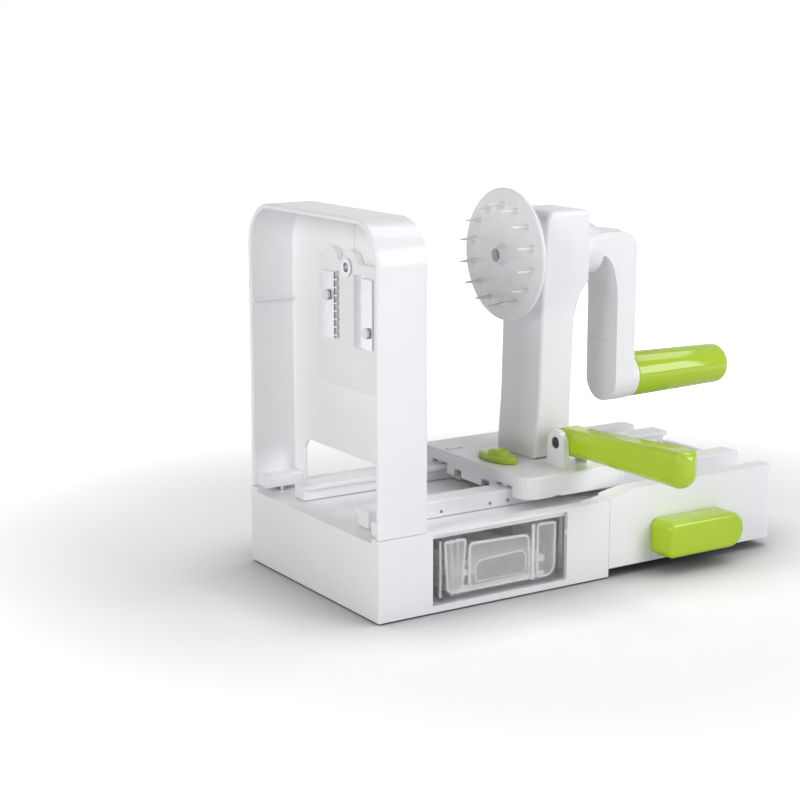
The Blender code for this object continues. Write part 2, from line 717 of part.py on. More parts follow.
def build_blade_housing():
    """Arch open to the left, with a back plate that has the insert's window and the carriage's tunnel."""
    low = FRONT_TOP + GAP
    outer = arch_outline(BODY_HALF, HOUSING_TOP, HOUSING_CORNER, low)
    inner = arch_outline(BODY_HALF - WALL, HOUSING_TOP - WALL, HOUSING_CORNER - WALL, low - OVER)
    housing = prism("blade_housing", outer, "X", 0.0, HOUSING_DEPTH)
    cut(housing, prism("cavity", inner, "X", -OVER, BACK_PLATE_X))
    soften(housing, 1.0, 1)
    inside = BODY_HALF - WALL
    root = (BACK_PLATE_X - SIDE_RIB_DEEP, BACK_PLATE_X + OVER)
    parts = []
    for side in (-1.0, 1.0):
        rib_y = sorted((side * (inside - SIDE_RIB_DEEP), side * (inside + OVER)))
        rib_z = (SIDE_RIB_Z - SIDE_RIB_THICK / 2.0, SIDE_RIB_Z + SIDE_RIB_THICK / 2.0)
        parts.append(box("rib", (1.5, root[1]), rib_y, rib_z))
        foot_y = sorted((side * HOUSING_FOOT_INNER, side * (inside + OVER)))
        parts.append(box("foot", (3.5, root[1]), foot_y, (low, HOUSING_FOOT_TOP)))
        toe_y = sorted((side * HOUSING_FOOT_INNER, side * (BODY_HALF - FRONT_RIM - GAP)))
        parts.append(box("toe", (3.5, root[1]), toe_y, (DECK_TOP + GAP, low + OVER)))
    centre_rib_z = (CENTRE_RIB_Z, HOUSING_TOP - WALL + OVER)
    parts.append(box("rib", (BACK_PLATE_X - 0.8, root[1]), CENTRE_RIB_Y, centre_rib_z))
    guide_z = (INSERT_BOTTOM, INSERT_TOP - 5.0)
    for edge, way in ((INSERT_Y0, -1.0), (INSERT_Y1, 1.0)):
        guide_y = sorted((edge + way * SLIDE_GAP, edge + way * (SLIDE_GAP + 2.0)))
        parts.append(box("guide", (INSERT_X0 + 1.0, root[1]), guide_y, guide_z))
    join(housing, *parts)
    through = (BACK_PLATE_X - 3.0 * OVER, HOUSING_DEPTH + OVER)
    tunnel = prism("tunnel", arch_outline(TUNNEL_HALF, TUNNEL_TOP, TUNNEL_CORNER, low - OVER), "X", *through)
    half = WINDOW_HALF + SLIDE_GAP
    window = box("window", through, (-half, half), (WINDOW_BOTTOM - SLIDE_GAP, WINDOW_TOP + SLIDE_GAP))
    core = rod("core", "X", (0.0, AXIS_Z), CORE_WINDOW + SLIDE_GAP, through[0], through[1])
    screws = deck_holes(HOUSING_SCREW_X, HOUSING_SCREW_Y, DECK_TOP - OVER, HOUSING_FOOT_TOP - 1.5)
    cut(housing, tunnel, window, core, *screws)
    return paint(housing, COOL_WHITE, 0.3)


def build_housing_screws():
    """Screws that hold the housing from below the deck."""
    seat = DECK_BOTTOM - GAP
    places = both_sides([(x, HOUSING_SCREW_Y) for x in HOUSING_SCREW_X])
    for side, at in zip(SIDES, places):
        build_screw(f"housing_screw_{side}", "Z", at, seat - SCREW_HEAD_HIGH, seat, HOUSING_FOOT_TOP - 2.0)


def build_insert(name):
    """Insert plate with finger lobes, a raised face that fills the window, and slots for the blades."""
    plate = box(name, (INSERT_X0, INSERT_X1), (INSERT_Y0, INSERT_Y1), (INSERT_BOTTOM, INSERT_TOP))
    root = INSERT_X1 - OVER
    parts = [rod("lobe", "X", (y, LOBE_Z), LOBE_RADIUS, INSERT_X0 + 0.1, INSERT_X1 - 0.1) for y in LOBES_Y]
    parts.append(box("raised", (root, FOOD_FACE_X), (-WINDOW_HALF, WINDOW_HALF), (WINDOW_BOTTOM, WINDOW_TOP)))
    parts.append(rod("core", "X", (0.0, AXIS_Z), CORE_WINDOW, root, FOOD_FACE_X - 0.1))
    join(plate, *parts)
    through = (INSERT_X0 - OVER, FOOD_FACE_X + OVER)
    blade_slot_z = (BLADE_BOTTOM - OVER, BLADE_TOP + OVER)
    blade_slot = box("slot", through, (BLADE_BEND_Y - 0.9, EXIT_SLOT_END_Y), blade_slot_z)
    comb_slot = box("slot", through, (COMB_Y - 0.6, COMB_Y + 3.3), (COMB_Z - 1.5, BLADE_TOP + OVER))
    return cut(plate, blade_slot, comb_slot)


def build_straight_blade(name):
    """Straight blade: a sheet on the outlet face that bends through the slot to its cutting edge."""
    outline = [
        (BLADE_X0, BLADE_BACK_Y), (BLADE_X1, BLADE_BACK_Y), (BLADE_X1, BLADE_BEND_Y - 0.4),
        (BLADE_TIP_X, BLADE_EDGE_Y - 0.2), (BLADE_TIP_X - 0.9, BLADE_EDGE_Y + 0.1),
        (BLADE_X0, BLADE_BEND_Y + 0.1),
    ]
    return prism(name, outline, "Z", BLADE_BOTTOM, BLADE_TOP)


def build_comb(name, count, pitch):
    """Comb: a sheet on the outlet face with teeth that reach through the insert to the food."""
    comb = box(name, (BLADE_X0, BLADE_X1), (COMB_PLATE_Y, COMB_BACK_Y), (COMB_Z - 2.0, BLADE_TOP))
    outline = [
        (BLADE_X0 + 0.05, COMB_PLATE_Y + OVER), (BLADE_X0 + 0.05, COMB_Y), (BLADE_TIP_X, COMB_Y),
        (BLADE_X1 - 0.05, COMB_Y + 2.6), (BLADE_X1 - 0.05, COMB_PLATE_Y + OVER),
    ]
    lows = [COMB_Z + k * pitch for k in range(count)]
    teeth = [prism("tooth", outline, "Z", low, low + COMB_TOOTH) for low in lows]
    return join(comb, *teeth)


def build_corer(name):
    """Coring ring: a sharp tube on the crank's axis."""
    inner = CORER_RADIUS - 0.8
    profile = [
        (inner, BLADE_X0), (CORER_RADIUS + 1.5, BLADE_X0), (CORER_RADIUS + 1.5, BLADE_X1),
        (CORER_RADIUS, BLADE_X1), (CORER_RADIUS, BLADE_TIP_X - 0.5), (inner + 0.1, BLADE_TIP_X + 0.2),
        (inner, BLADE_TIP_X),
    ]
    return lathe(name, profile, "X", (0.0, AXIS_Z), 24)


def stow(obj, level):
    """Lay a piece of a spare insert flat in the drawer, food side up, on the given level."""
    lowest = BLADE_X0
    floor = DRAWER_OPEN_Z0 + SLIDE_GAP + DRAWER_WALL + GAP
    height = BLADE_TIP_X + 0.2 + GAP - lowest
    middle = (DRAWER_BOX_X0 + DRAWER_BOX_X1) / 2.0
    shift_x = middle - (INSERT_Y0 + INSERT_Y1) / 2.0
    shift_y = DRAWER_PANEL + 1.5 - BODY_HALF - INSERT_BOTTOM
    for vertex in obj.data.vertices:
        x = vertex.co.x / MM + X_MID
        y = vertex.co.y / MM + Y_MID
        z = vertex.co.z / MM - FOOT_PROUD
        vertex.co = place((y + shift_x, z + shift_y, x - lowest + floor + level * height))
    return obj


def build_blade_set():
    """The insert in the housing with its blade, comb, coring ring and screws."""
    insert = build_insert("blade_insert")
    blade = build_straight_blade("straight_blade")
    comb = build_comb("comb_blade", COMB_TEETH, COMB_PITCH)
    corer_hole = rod("hole", "X", AXIS, CORER_RADIUS + GAP, INSERT_X0 - OVER, FOOD_FACE_X + OVER, 24)
    through = (INSERT_X0 - OVER, SCREW_TIP_X + GAP)
    cut(insert, corer_hole, *[screw_hole("X", at, *through) for at in (BLADE_SCREW, COMB_SCREW)])
    cut(blade, screw_hole("X", BLADE_SCREW, BLADE_X0 - OVER, BLADE_X1 + OVER))
    cut(comb, screw_hole("X", COMB_SCREW, BLADE_X0 - OVER, BLADE_X1 + OVER))
    paint(insert, SHADE_WHITE, 0.35)
    paint(blade, STEEL_GREY, 0.2, 1.0)
    paint(comb, STEEL_GREY, 0.2, 1.0)
    paint(build_corer("coring_ring"), STEEL_GREY, 0.2, 1.0)
    build_screw("blade_screw", "X", BLADE_SCREW, SCREW_FACE_X, SCREW_SEAT_X, SCREW_TIP_X)
    build_screw("comb_screw", "X", COMB_SCREW, SCREW_FACE_X, SCREW_SEAT_X, SCREW_TIP_X)


def build_spares():
    """Two spare inserts with moulded-in blades that lie on each other in the drawer."""
    for level, (kind, count, pitch) in enumerate((("coarse", 5, 7.2), ("fine", 12, 2.8))):
        paint(stow(build_insert(f"spare_insert_{kind}"), level), SHADE_WHITE, 0.35)
        paint(stow(build_comb(f"spare_comb_{kind}", count, pitch), level), STEEL_GREY, 0.2, 1.0)
        paint(stow(build_straight_blade(f"spare_blade_{kind}"), level), STEEL_GREY, 0.2, 1.0)


def build_blade_drawer():
    """Clear drawer: an open box behind a front panel with two finger notches."""
    low = DRAWER_OPEN_Z0 + SLIDE_GAP
    front = 0.1 - BODY_HALF
    panel_back = front + DRAWER_PANEL
    panel_x = (DRAWER_OPEN_X0 + SLIDE_GAP, DRAWER_OPEN_X1 - SLIDE_GAP)
    drawer = box("blade_drawer", panel_x, (front, panel_back), (low, DRAWER_OPEN_Z1 - SLIDE_GAP))
    body_y = (panel_back - OVER, DRAWER_BACK)
    body = box("body", (DRAWER_BOX_X0, DRAWER_BOX_X1), body_y, (low + 0.05, DECK_BOTTOM - 0.5))
    join(drawer, body)
    inside_x = (DRAWER_BOX_X0 + DRAWER_WALL, DRAWER_BOX_X1 - DRAWER_WALL)
    inside = box("inside", inside_x, (panel_back, DRAWER_BACK - DRAWER_WALL), (low + DRAWER_WALL, DECK_TOP))
    through = (front - OVER, panel_back + OVER)
    notches = [rod("notch", "Y", (x, DRAWER_NOTCH_Z), DRAWER_NOTCH, *through, 16) for x in panel_x]
    cut(drawer, inside, *notches)
    return paint(drawer, CLEAR_GREY, 0.08)


def build_carriage():
    """Carriage over the rails: top plate, skirts, guide walls, end walls, the ear and lug of the handle."""
    guide_in = RAIL_INNER - SLIDE_GAP
    guide_out = RAIL_OUTER + SLIDE_GAP
    half = CARRIAGE_HALF
    profile = [
        (half, CARRIAGE_TOP), (half, CARRIAGE_SKIRT_Z), (guide_out, CARRIAGE_SKIRT_Z),
        (guide_out, CARRIAGE_OVER_RAIL_Z), (guide_in, CARRIAGE_OVER_RAIL_Z), (guide_in, GUIDE_FOOT_Z),
        (GUIDE_FOOT_INNER, GUIDE_FOOT_Z), (GUIDE_FOOT_INNER, CENTRE_BLOCK_Z),
        (CENTRE_BLOCK_HALF, CENTRE_BLOCK_Z), (CENTRE_BLOCK_HALF, GUIDE_FOOT_Z + 0.1),
    ]
    carriage = prism("carriage", mirrored(profile), "X", CARRIAGE_X0, CARRIAGE_X1)
    corner = CARRIAGE_CORNER
    plan = arc((CARRIAGE_X1 - corner, half - corner), corner, 0.0, 90.0, 4)
    plan += arc((CARRIAGE_X0 + corner, half - corner), corner, 90.0, 180.0, 4)
    plan += arc((CARRIAGE_X0 + corner, corner - half), corner, 180.0, 270.0, 4)
    plan += arc((CARRIAGE_X1 - corner, corner - half), corner, 270.0, 360.0, 4)
    keep_inside(carriage, prism("plan", plan, "Z", GUIDE_FOOT_Z - 5.0, CARRIAGE_TOP + OVER))
    soften(carriage, 0.7, 1)
    ear_outline = [(PIN_Y + EAR_FOOT, CARRIAGE_TOP - OVER)] + arc((PIN_Y, PIN_Z), EAR_RADIUS, 0.0, 180.0, 12)
    ear_outline.append((PIN_Y - EAR_FOOT, CARRIAGE_TOP - OVER))
    ear = prism("ear", ear_outline, "X", EAR_X0, EAR_X0 + EAR_THICK)
    lug_outline = [(PIN_Y + LUG_FOOT, CARRIAGE_TOP - OVER)] + arc((PIN_Y, PIN_Z), LUG_RADIUS, 0.0, 180.0, 12)
    lug_x = (HANDLE_X1 + GAP, HANDLE_X1 + GAP + LUG_THICK)
    lug_outline.append((PIN_Y - LUG_FOOT, CARRIAGE_TOP - OVER))
    lug = prism("lug", lug_outline, "X", *lug_x)
    mark = box("mark", MARK_X, MARK_Y, (CARRIAGE_TOP - OVER, CARRIAGE_TOP + MARK_HIGH))
    join(carriage, ear, lug, mark)
    inside_x = (CARRIAGE_X0 + WALL, CARRIAGE_X1 - WALL)
    inside_z = (GUIDE_FOOT_Z - 5.0, CARRIAGE_TOP - WALL)
    cuts = [box("cut", inside_x, (WALL - guide_in, guide_in - WALL), inside_z)]
    for side in (-1.0, 1.0):
        for low, high in ((guide_in + 0.05, guide_out - 0.05), (guide_out + WALL, half - WALL)):
            cuts.append(box("cut", inside_x, sorted((side * low, side * high)), inside_z))
    notch = (SKIRT_NOTCH_X, CARRIAGE_SKIRT_Z - SKIRT_NOTCH_DROP)
    cuts.append(rod("cut", "Y", notch, SKIRT_NOTCH_RADIUS, -half - OVER, WALL - half + 0.5))
    sweep_x = (LATCH_X - LATCH_BAR_HALF - 0.6, LATCH_X + LATCH_SWEEP)
    sweep_y = (-guide_in - 0.5, WALL - guide_in + 0.5)
    cuts.append(box("cut", sweep_x, sweep_y, (GUIDE_FOOT_Z - OVER, GUIDE_FOOT_Z + 2.7)))
    top = (CARRIAGE_TOP - WALL - OVER, CARRIAGE_TOP + OVER)
    cuts.append(rod("cut", "Z", (LATCH_X, LATCH_Y), SPINDLE_RADIUS + SLIDE_GAP, *top))
    cuts += [screw_hole("Z", at, *top) for at in both_sides(TOWER_SCREWS)]
    pin = (PIN_Y, PIN_Z)
    cuts.append(rod("cut", "X", pin, HANDLE_PIN_RADIUS + GAP, EAR_X0 - OVER, HANDLE_X0))
    cuts.append(rod("cut", "X", pin, HANDLE_PIN_END_RADIUS + GAP, HANDLE_X1, lug_x[1] + OVER))
    cut(carriage, *cuts)
    ribs = []
    rib_x = (CARRIAGE_X0 + 0.5, CARRIAGE_X1 - 0.5)
    rib_z = (RAIL_TOP + GAP, CARRIAGE_TOP - WALL + OVER)
    for middle in (-RAIL_MIDDLE, RAIL_MIDDLE):
        ribs.append(box("rib", rib_x, (middle - GLIDE_HALF, middle + GLIDE_HALF), rib_z))
    join(carriage, *ribs)
    return paint(carriage, COOL_WHITE, 0.3)


def build_guide_shoe(name, side, start):
    """A shoe on the guide wall whose toe reaches under the rail's lip."""
    wall = RAIL_INNER - SLIDE_GAP - WALL - GAP
    toe_in = RAIL_INNER + 0.4
    toe_out = RAIL_INNER + RAIL_LIP_REACH - 0.5
    toe_top = RAIL_TOP - RAIL_LIP_THICK - SLIDE_GAP
    sole = GUIDE_FOOT_Z - SLIDE_GAP
    section = [
        (wall - WALL - GAP, sole - WALL), (toe_out, sole - WALL), (toe_out, toe_top), (toe_in, toe_top),
        (toe_in, sole), (wall, sole), (wall, CARRIAGE_TOP - WALL - GAP),
        (wall - WALL - GAP, CARRIAGE_TOP - WALL - GAP),
    ]
    shoe = prism(name, [(side * y, z) for y, z in section], "X", start, CARRIAGE_X1 - GUIDE_SHOE_END)
    return paint(shoe, NYLON_WHITE, 0.4)


def tower_right_x(z):
    """Position of the tower's right edge at a height."""
    edge = TOWER_RIGHT + ((TOWER_TOP_RIGHT_X, TOWER_TOP),)
    for (x0, z0), (x1, z1) in zip(edge, edge[1:]):
        if z <= z1:
            return x0 + (x1 - x0) * (z - z0) / (z1 - z0)
    return TOWER_TOP_RIGHT_X


def build_tower():
    """Hollow tower that carries the crank's shaft, open on its right side."""
    corner = 7.0
    left = list(TOWER_LEFT) + arc((TOWER_TOP_LEFT_X + 0.9, TOWER_TOP - corner), corner, 180.0, 90.0, 6)
    right = [(TOWER_TOP_RIGHT_X, TOWER_TOP)] + list(reversed(TOWER_RIGHT))
    tower = prism("tower", left + right, "Y", -TOWER_HALF, TOWER_HALF)
    soften(tower, 1.0, 1)
    floor = TOWER_BASE_Z + TOWER_WALL
    top = TOWER_TOP - TOWER_WALL
    beyond = TOWER_TOP_RIGHT_X + 20.0
    hollow = [(x + TOWER_WALL, z) for x, z in TOWER_LEFT if z > floor]
    hollow.insert(0, (TOWER_LEFT[0][0] + TOWER_WALL, floor))
    hollow += [(TOWER_TOP_LEFT_X, top), (beyond, top), (beyond, floor)]
    inner_half = TOWER_HALF - TOWER_WALL
    cut(tower, prism("hollow", hollow, "Y", -inner_half, inner_half))
    places = both_sides(TOWER_SCREWS)
    join(tower, *[rod("boss", "Z", at, POST_RADIUS, floor - OVER, floor + SCREW_DEEP, 16) for at in places])
    holes = [screw_hole("Z", at, TOWER_BASE_Z - OVER, floor + SCREW_DEEP - 2.0) for at in places]
    bore = rod("bore", "X", (0.0, AXIS_Z), SHAFT_RADIUS + 2.8, TOWER_LEFT[0][0], TOWER_TOP_LEFT_X, 20)
    cut(tower, bore, *holes)
    return paint(tower, COOL_WHITE, 0.3)


def build_tower_cover():
    """Cover plate set into the tower's open right side, following its curve."""
    low = TOWER_BASE_Z + TOWER_WALL + GAP
    high = TOWER_TOP - TOWER_WALL - GAP
    heights = [low] + [z for x, z in TOWER_RIGHT if z > low] + [high]
    outside = [(tower_right_x(z) - 0.2, z) for z in heights]
    inside = [(x - COVER_THICK, z) for x, z in reversed(outside)]
    half = TOWER_HALF - TOWER_WALL - GAP
    cover = prism("tower_cover", outside + inside, "Y", -half, half)
    through = (TOWER_TOP_LEFT_X, TOWER_TOP_RIGHT_X + OVER)
    cut(cover, rod("bore", "X", AXIS, SHAFT_RADIUS + 2.8, *through, 20))
    return paint(cover, COOL_WHITE, 0.35)


def build_tower_screws():
    """Screws that hold the tower from below the carriage's top plate."""
    seat = CARRIAGE_TOP - WALL - GAP
    for side, at in zip(SIDES, both_sides(TOWER_SCREWS)):
        build_screw(f"tower_screw_{side}", "Z", at, seat - SCREW_HEAD_HIGH, seat, TOWER_BASE_Z + SCREW_DEEP)


def build_food_holder():
    """Disc with a ring of spikes, a centre spike ring and the hub that sits on the shaft."""
    profile = [
        (0, DISC_X0), (DISC_RADIUS - 0.5, DISC_X0), (DISC_RADIUS, DISC_X0 + 0.5),
        (DISC_RADIUS, DISC_X1 - 0.5), (DISC_RADIUS - 0.5, DISC_X1),
        (HOLDER_HUB_RADIUS + 1.0, DISC_X1), (HOLDER_HUB_RADIUS, DISC_X1 + 1.0),
        (HOLDER_HUB_RADIUS, HUB_END_X), (SHAFT_RADIUS + GAP, HUB_END_X), (SHAFT_RADIUS + GAP, SHAFT_X0 - GAP),
        (0, SHAFT_X0 - GAP),
    ]
    holder = lathe("food_holder", profile, "X", AXIS, 48)
    spikes = []
    for k in range(SPIKE_COUNT):
        angle = 2.0 * math.pi * (k + 0.5) / SPIKE_COUNT
        centre = (-SPIKE_RING * math.cos(angle), AXIS_Z + SPIKE_RING * math.sin(angle))
        cone = [(0, SPIKE_TIP_X), (SPIKE_RADIUS, DISC_X0), (SPIKE_RADIUS, DISC_X0 + OVER), (0, DISC_X0 + OVER)]
        spikes.append(lathe("spike", cone, "X", centre, 8))
    ring = [
        (SCREW_HEAD + 1.0, DISC_X0 + OVER), (SCREW_HEAD + 1.0, DISC_X0 - 5.0),
        (SCREW_HEAD + 1.6, DISC_X0 - 5.4), (SCREW_HEAD + 2.6, DISC_X0 + OVER),
    ]
    join(holder, lathe("ring", ring, "X", AXIS, 24), *spikes)
    cut(holder, screw_hole("X", AXIS, DISC_X0 - OVER, SHAFT_X0 + OVER))
    return paint(holder, COOL_WHITE, 0.3)


def build_holder_screw():
    """Screw that holds the food holder on the shaft."""
    return build_screw("holder_screw", "X", AXIS, DISC_X0 - 2.2, DISC_X0 - GAP, SHAFT_X0 + 6.0)


def build_crank_shaft():
    """Steel shaft through the tower with a collar behind each bush."""
    front = FRONT_BUSH_X[2] + GAP
    rear = REAR_BUSH_X[2] - GAP
    radius = SHAFT_RADIUS
    profile = [
        (0, SHAFT_X0 + 7.0), (SCREW_HOLE, SHAFT_X0 + 7.0), (SCREW_HOLE, SHAFT_X0), (radius, SHAFT_X0),
        (radius, front), (COLLAR_RADIUS, front), (COLLAR_RADIUS, front + 1.6), (radius, front + 1.6),
        (radius, rear - 1.6), (COLLAR_RADIUS, rear - 1.6), (COLLAR_RADIUS, rear), (radius, rear),
        (radius, SHAFT_X1), (0, SHAFT_X1),
    ]
    return paint(lathe("crank_shaft", profile, "X", AXIS, 20), STEEL_GREY, 0.3, 1.0)


def build_bush(name, ends):
    """Flanged bush: ends are the outer end, the face of the flange on the wall and the inner end."""
    bore = SHAFT_RADIUS + GAP
    profile = [
        (bore, ends[0]), (BUSH_RADIUS, ends[0]), (BUSH_RADIUS, ends[1]), (BUSH_FLANGE, ends[1]),
        (BUSH_FLANGE, ends[2]), (bore, ends[2]),
    ]
    return paint(lathe(name, profile, "X", AXIS, 24), NYLON_WHITE, 0.4)


def build_crank_arm():
    """Crank arm: hub on the shaft, a leg to the right, a bend down and a round end with a boss."""
    leg_start = CRANK_HUB_X0 + GAP
    inner = [(leg_start, CRANK_LEG_Z0)]
    for k in range(7):
        angle = math.radians(90.0 - 90.0 * k / 6)
        x = CRANK_LEG_X0 + (CRANK_ARM_X0 - CRANK_LEG_X0) * math.cos(angle)
        inner.append((x, CRANK_INNER_Z + (CRANK_LEG_Z0 - CRANK_INNER_Z) * math.sin(angle)))
    low = GRIP_Z - CRANK_HALF - OVER
    outline = inner + [(CRANK_ARM_X0, low), (CRANK_ARM_X1, low)]
    radius = CRANK_OUTER_RADIUS
    outline += arc((CRANK_ARM_X1 - radius, CRANK_LEG_Z1 - radius), radius, 0.0, 90.0, 8)
    outline.append((leg_start, CRANK_LEG_Z1))
    arm = prism("crank_arm", outline, "Y", -CRANK_HALF - OVER, CRANK_HALF + OVER)
    stadium = arc(GRIP_AXIS, CRANK_HALF, 180.0, 360.0, 12)
    stadium += [(CRANK_HALF, CRANK_LEG_Z1 + OVER), (-CRANK_HALF, CRANK_LEG_Z1 + OVER)]
    keep_inside(arm, prism("stadium", stadium, "X", CRANK_HUB_X0 - OVER, CRANK_ARM_X1 + OVER))
    soften(arm, 1.2, 1)
    hub_profile = [
        (0, CRANK_HUB_X0), (CRANK_HUB_RADIUS - 0.8, CRANK_HUB_X0), (CRANK_HUB_RADIUS, CRANK_HUB_X0 + 0.8),
        (CRANK_HUB_RADIUS, CRANK_LEG_X0 - 0.8), (CRANK_HUB_RADIUS - 0.8, CRANK_LEG_X0), (0, CRANK_LEG_X0),
    ]
    boss = rod("boss", "X", GRIP_AXIS, BOSS_RADIUS, CRANK_ARM_X1 - OVER, CRANK_ARM_X1 + BOSS_LENGTH)
    crown_end = CRANK_ARM_X1 - CRANK_CROWN_SHORT
    crown_tip = CRANK_LEG_Z1 - AXIS_Z - OVER
    crown_profile = [(0, leg_start + 1.0), (CRANK_HUB_RADIUS - 0.5, leg_start + 1.0), (crown_tip, crown_end)]
    crown = lathe("crown", crown_profile + [(0, crown_end)], "X", AXIS, 32)
    wide = CRANK_HUB_RADIUS + 2.0
    below = box("below", (leg_start - 1.0, CRANK_ARM_X1), (-wide, wide), (AXIS_Z - wide, AXIS_Z))
    cut(crown, below)
    join(arm, lathe("hub", hub_profile, "X", AXIS, 32), boss, crown)
    bore = rod("bore", "X", AXIS, SHAFT_RADIUS + GAP, CRANK_HUB_X0 - OVER, SHAFT_X1 + GAP)
    hub_top = AXIS_Z + CRANK_HUB_RADIUS + OVER
    set_hole = rod("hole", "Z", (CRANK_SCREW_X, 0.0), SCREW_HOLE + 0.5, AXIS_Z, hub_top, 16)
    boss_end = CRANK_ARM_X1 + BOSS_LENGTH + OVER
    pin_hole = rod("hole", "X", GRIP_AXIS, GRIP_PIN_RADIUS + GAP, PIN_START_X - GAP, boss_end)
    cut(arm, bore, set_hole, pin_hole)
    return paint(arm, COOL_WHITE, 0.3)


def build_crank_screw():
    """Headless screw that clamps the crank arm's hub on the shaft."""
    low = AXIS_Z + SHAFT_RADIUS + GAP
    high = AXIS_Z + CRANK_HUB_RADIUS - 0.4
    screw = rod("crank_screw", "Z", (CRANK_SCREW_X, 0.0), SCREW_HOLE + 0.2, low, high, 16)
    return paint(screw, STEEL_GREY, 0.3, 1.0)


def build_grip_pin():
    """Steel pin in the crank arm that the grip turns on."""
    pin = rod("grip_pin", "X", GRIP_AXIS, GRIP_PIN_RADIUS, PIN_START_X, PIN_END_X)
    return paint(pin, STEEL_GREY, 0.3, 1.0)


def build_crank_grip():
    """Round grip with a domed end, turning on its pin."""
    start = CRANK_ARM_X1 + BOSS_LENGTH + GAP
    bore = GRIP_PIN_RADIUS + GAP
    dome = GRIP_X1 - GRIP_DOME
    profile = [
        (0, PIN_END_X + GAP), (bore, PIN_END_X + GAP), (bore, start), (BOSS_RADIUS - 0.5, start),
        (BOSS_RADIUS, start + 0.6),
    ]
    for k in range(6):
        angle = math.radians(90.0 * k / 6)
        profile.append((GRIP_TIP_RADIUS * math.cos(angle), dome + GRIP_DOME * math.sin(angle)))
    profile.append((0, GRIP_X1))
    return paint(lathe("crank_grip", profile, "X", GRIP_AXIS, 28), LIME_GREEN, 0.3)


def build_push_handle():
    """Folding push handle: a flat bar that gets taller towards its rounded free end."""
    tip = HANDLE_TIP_Y
    outline = arc((PIN_Y, PIN_Z), HANDLE_ROOT_RADIUS, -90.0, 90.0, 12)
    root_top = PIN_Z + HANDLE_ROOT_RADIUS
    rise = HANDLE_TOP_Z - root_top
    for share in (0.25, 0.5, 0.75, 1.0):
        outline.append((PIN_Y + (HANDLE_PEAK_Y - PIN_Y) * share, root_top + rise * share ** 1.2))
    upper = HANDLE_TIP_TOP_RADIUS
    lower = HANDLE_TIP_LOW_RADIUS
    outline += arc((tip + upper, HANDLE_TOP_Z - upper), upper, 90.0, 180.0, 4)
    outline += arc((tip + lower, HANDLE_BOTTOM_Z + lower), lower, 180.0, 270.0, 6)
    handle = prism("push_handle", outline, "X", HANDLE_X0, HANDLE_X1)
    radius = (HANDLE_X1 - HANDLE_X0) / 2.0
    plan = arc((HANDLE_X0 + radius, tip + radius), radius, 180.0, 360.0, 14)
    plan += [(HANDLE_X1, PIN_Y + 20.0), (HANDLE_X0, PIN_Y + 20.0)]
    keep_inside(handle, prism("plan", plan, "Z", HANDLE_BOTTOM_Z - 10.0, HANDLE_TOP_Z + 10.0))
    soften(handle, 2.0, 2, 25.0)
    through = (HANDLE_X0 - OVER, HANDLE_X1 + OVER)
    cut(handle, rod("bore", "X", (PIN_Y, PIN_Z), HANDLE_PIN_RADIUS + GAP, *through))
    return paint(handle, LIME_GREEN, 0.3)


def build_handle_pin():
    """Stepped pin through the ear, the push handle and the lug."""
    step = HANDLE_X1 - 2.0
    end = HANDLE_X1 + GAP + LUG_THICK
    profile = [
        (0, EAR_X0), (HANDLE_PIN_RADIUS - 0.4, EAR_X0), (HANDLE_PIN_RADIUS, EAR_X0 + 0.4),
        (HANDLE_PIN_RADIUS, step),
        (HANDLE_PIN_END_RADIUS, step), (HANDLE_PIN_END_RADIUS, end), (0, end),
    ]
    return paint(lathe("handle_pin", profile, "X", (PIN_Y, PIN_Z), 24), STEEL_GREY, 0.3, 1.0)


def build_latch_knob():
    """Latch knob: a long oval plate with a round boss over the spindle's socket."""
    low = CARRIAGE_TOP + GAP
    high = low + KNOB_PLATE
    at = (LATCH_X, LATCH_Y)
    outline = []
    for x, y in arc((0.0, 0.0), 1.0, 0.0, 345.0, 23):
        outline.append((LATCH_X + KNOB_HALF_WIDTH * x, LATCH_Y + KNOB_HALF_LENGTH * y))
    knob = soften(prism("latch_knob", outline, "Z", low, high), 0.9, 2)
    boss = [
        (0, high - OVER), (KNOB_BOSS_RADIUS, high - OVER), (KNOB_BOSS_RADIUS, KNOB_TOP - 1.4),
        (KNOB_BOSS_RADIUS - 0.5, KNOB_TOP - 0.4), (KNOB_BOSS_RADIUS - 1.6, KNOB_TOP), (0, KNOB_TOP),
    ]
    join(knob, lathe("boss", boss, "Z", at, 24))
    cut(knob, rod("socket", "Z", at, SPINDLE_RADIUS + GAP, low - OVER, high + 0.3, 24))
    return paint(knob, LIME_GREEN, 0.3)


def build_latch_spindle():
    """Spindle of the latch with a bar whose raised tip goes under the near rail's lip."""
    at = (LATCH_X, LATCH_Y)
    bar_top = GUIDE_FOOT_Z - 0.2
    bar_low = bar_top - LATCH_BAR_THICK
    collar = CARRIAGE_TOP - WALL - GAP
    profile = [
        (0, bar_low + 0.1), (SPINDLE_RADIUS, bar_low + 0.1), (SPINDLE_RADIUS, collar - 1.8),
        (SPINDLE_RADIUS + 2.6, collar - 1.8), (SPINDLE_RADIUS + 2.6, collar), (SPINDLE_RADIUS, collar),
        (SPINDLE_RADIUS, CARRIAGE_TOP + KNOB_PLATE), (0, CARRIAGE_TOP + KNOB_PLATE),
    ]
    spindle = lathe("latch_spindle", profile, "Z", at, 24)
    across = (LATCH_X - LATCH_BAR_HALF, LATCH_X + LATCH_BAR_HALF)
    bar = box("bar", across, (LATCH_Y - LATCH_REACH, LATCH_Y + LATCH_BAR_TAIL), (bar_low, bar_top))
    tip_top = RAIL_TOP - RAIL_LIP_THICK - SLIDE_GAP
    tip_y = (LATCH_Y - LATCH_REACH + 0.1, LATCH_Y - LATCH_REACH + 1.7)
    tip = box("tip", (across[0] + 0.3, across[1] - 0.3), tip_y, (bar_top - OVER, tip_top))
    join(spindle, bar, tip)
    return paint(spindle, STEEL_GREY, 0.35, 1.0)


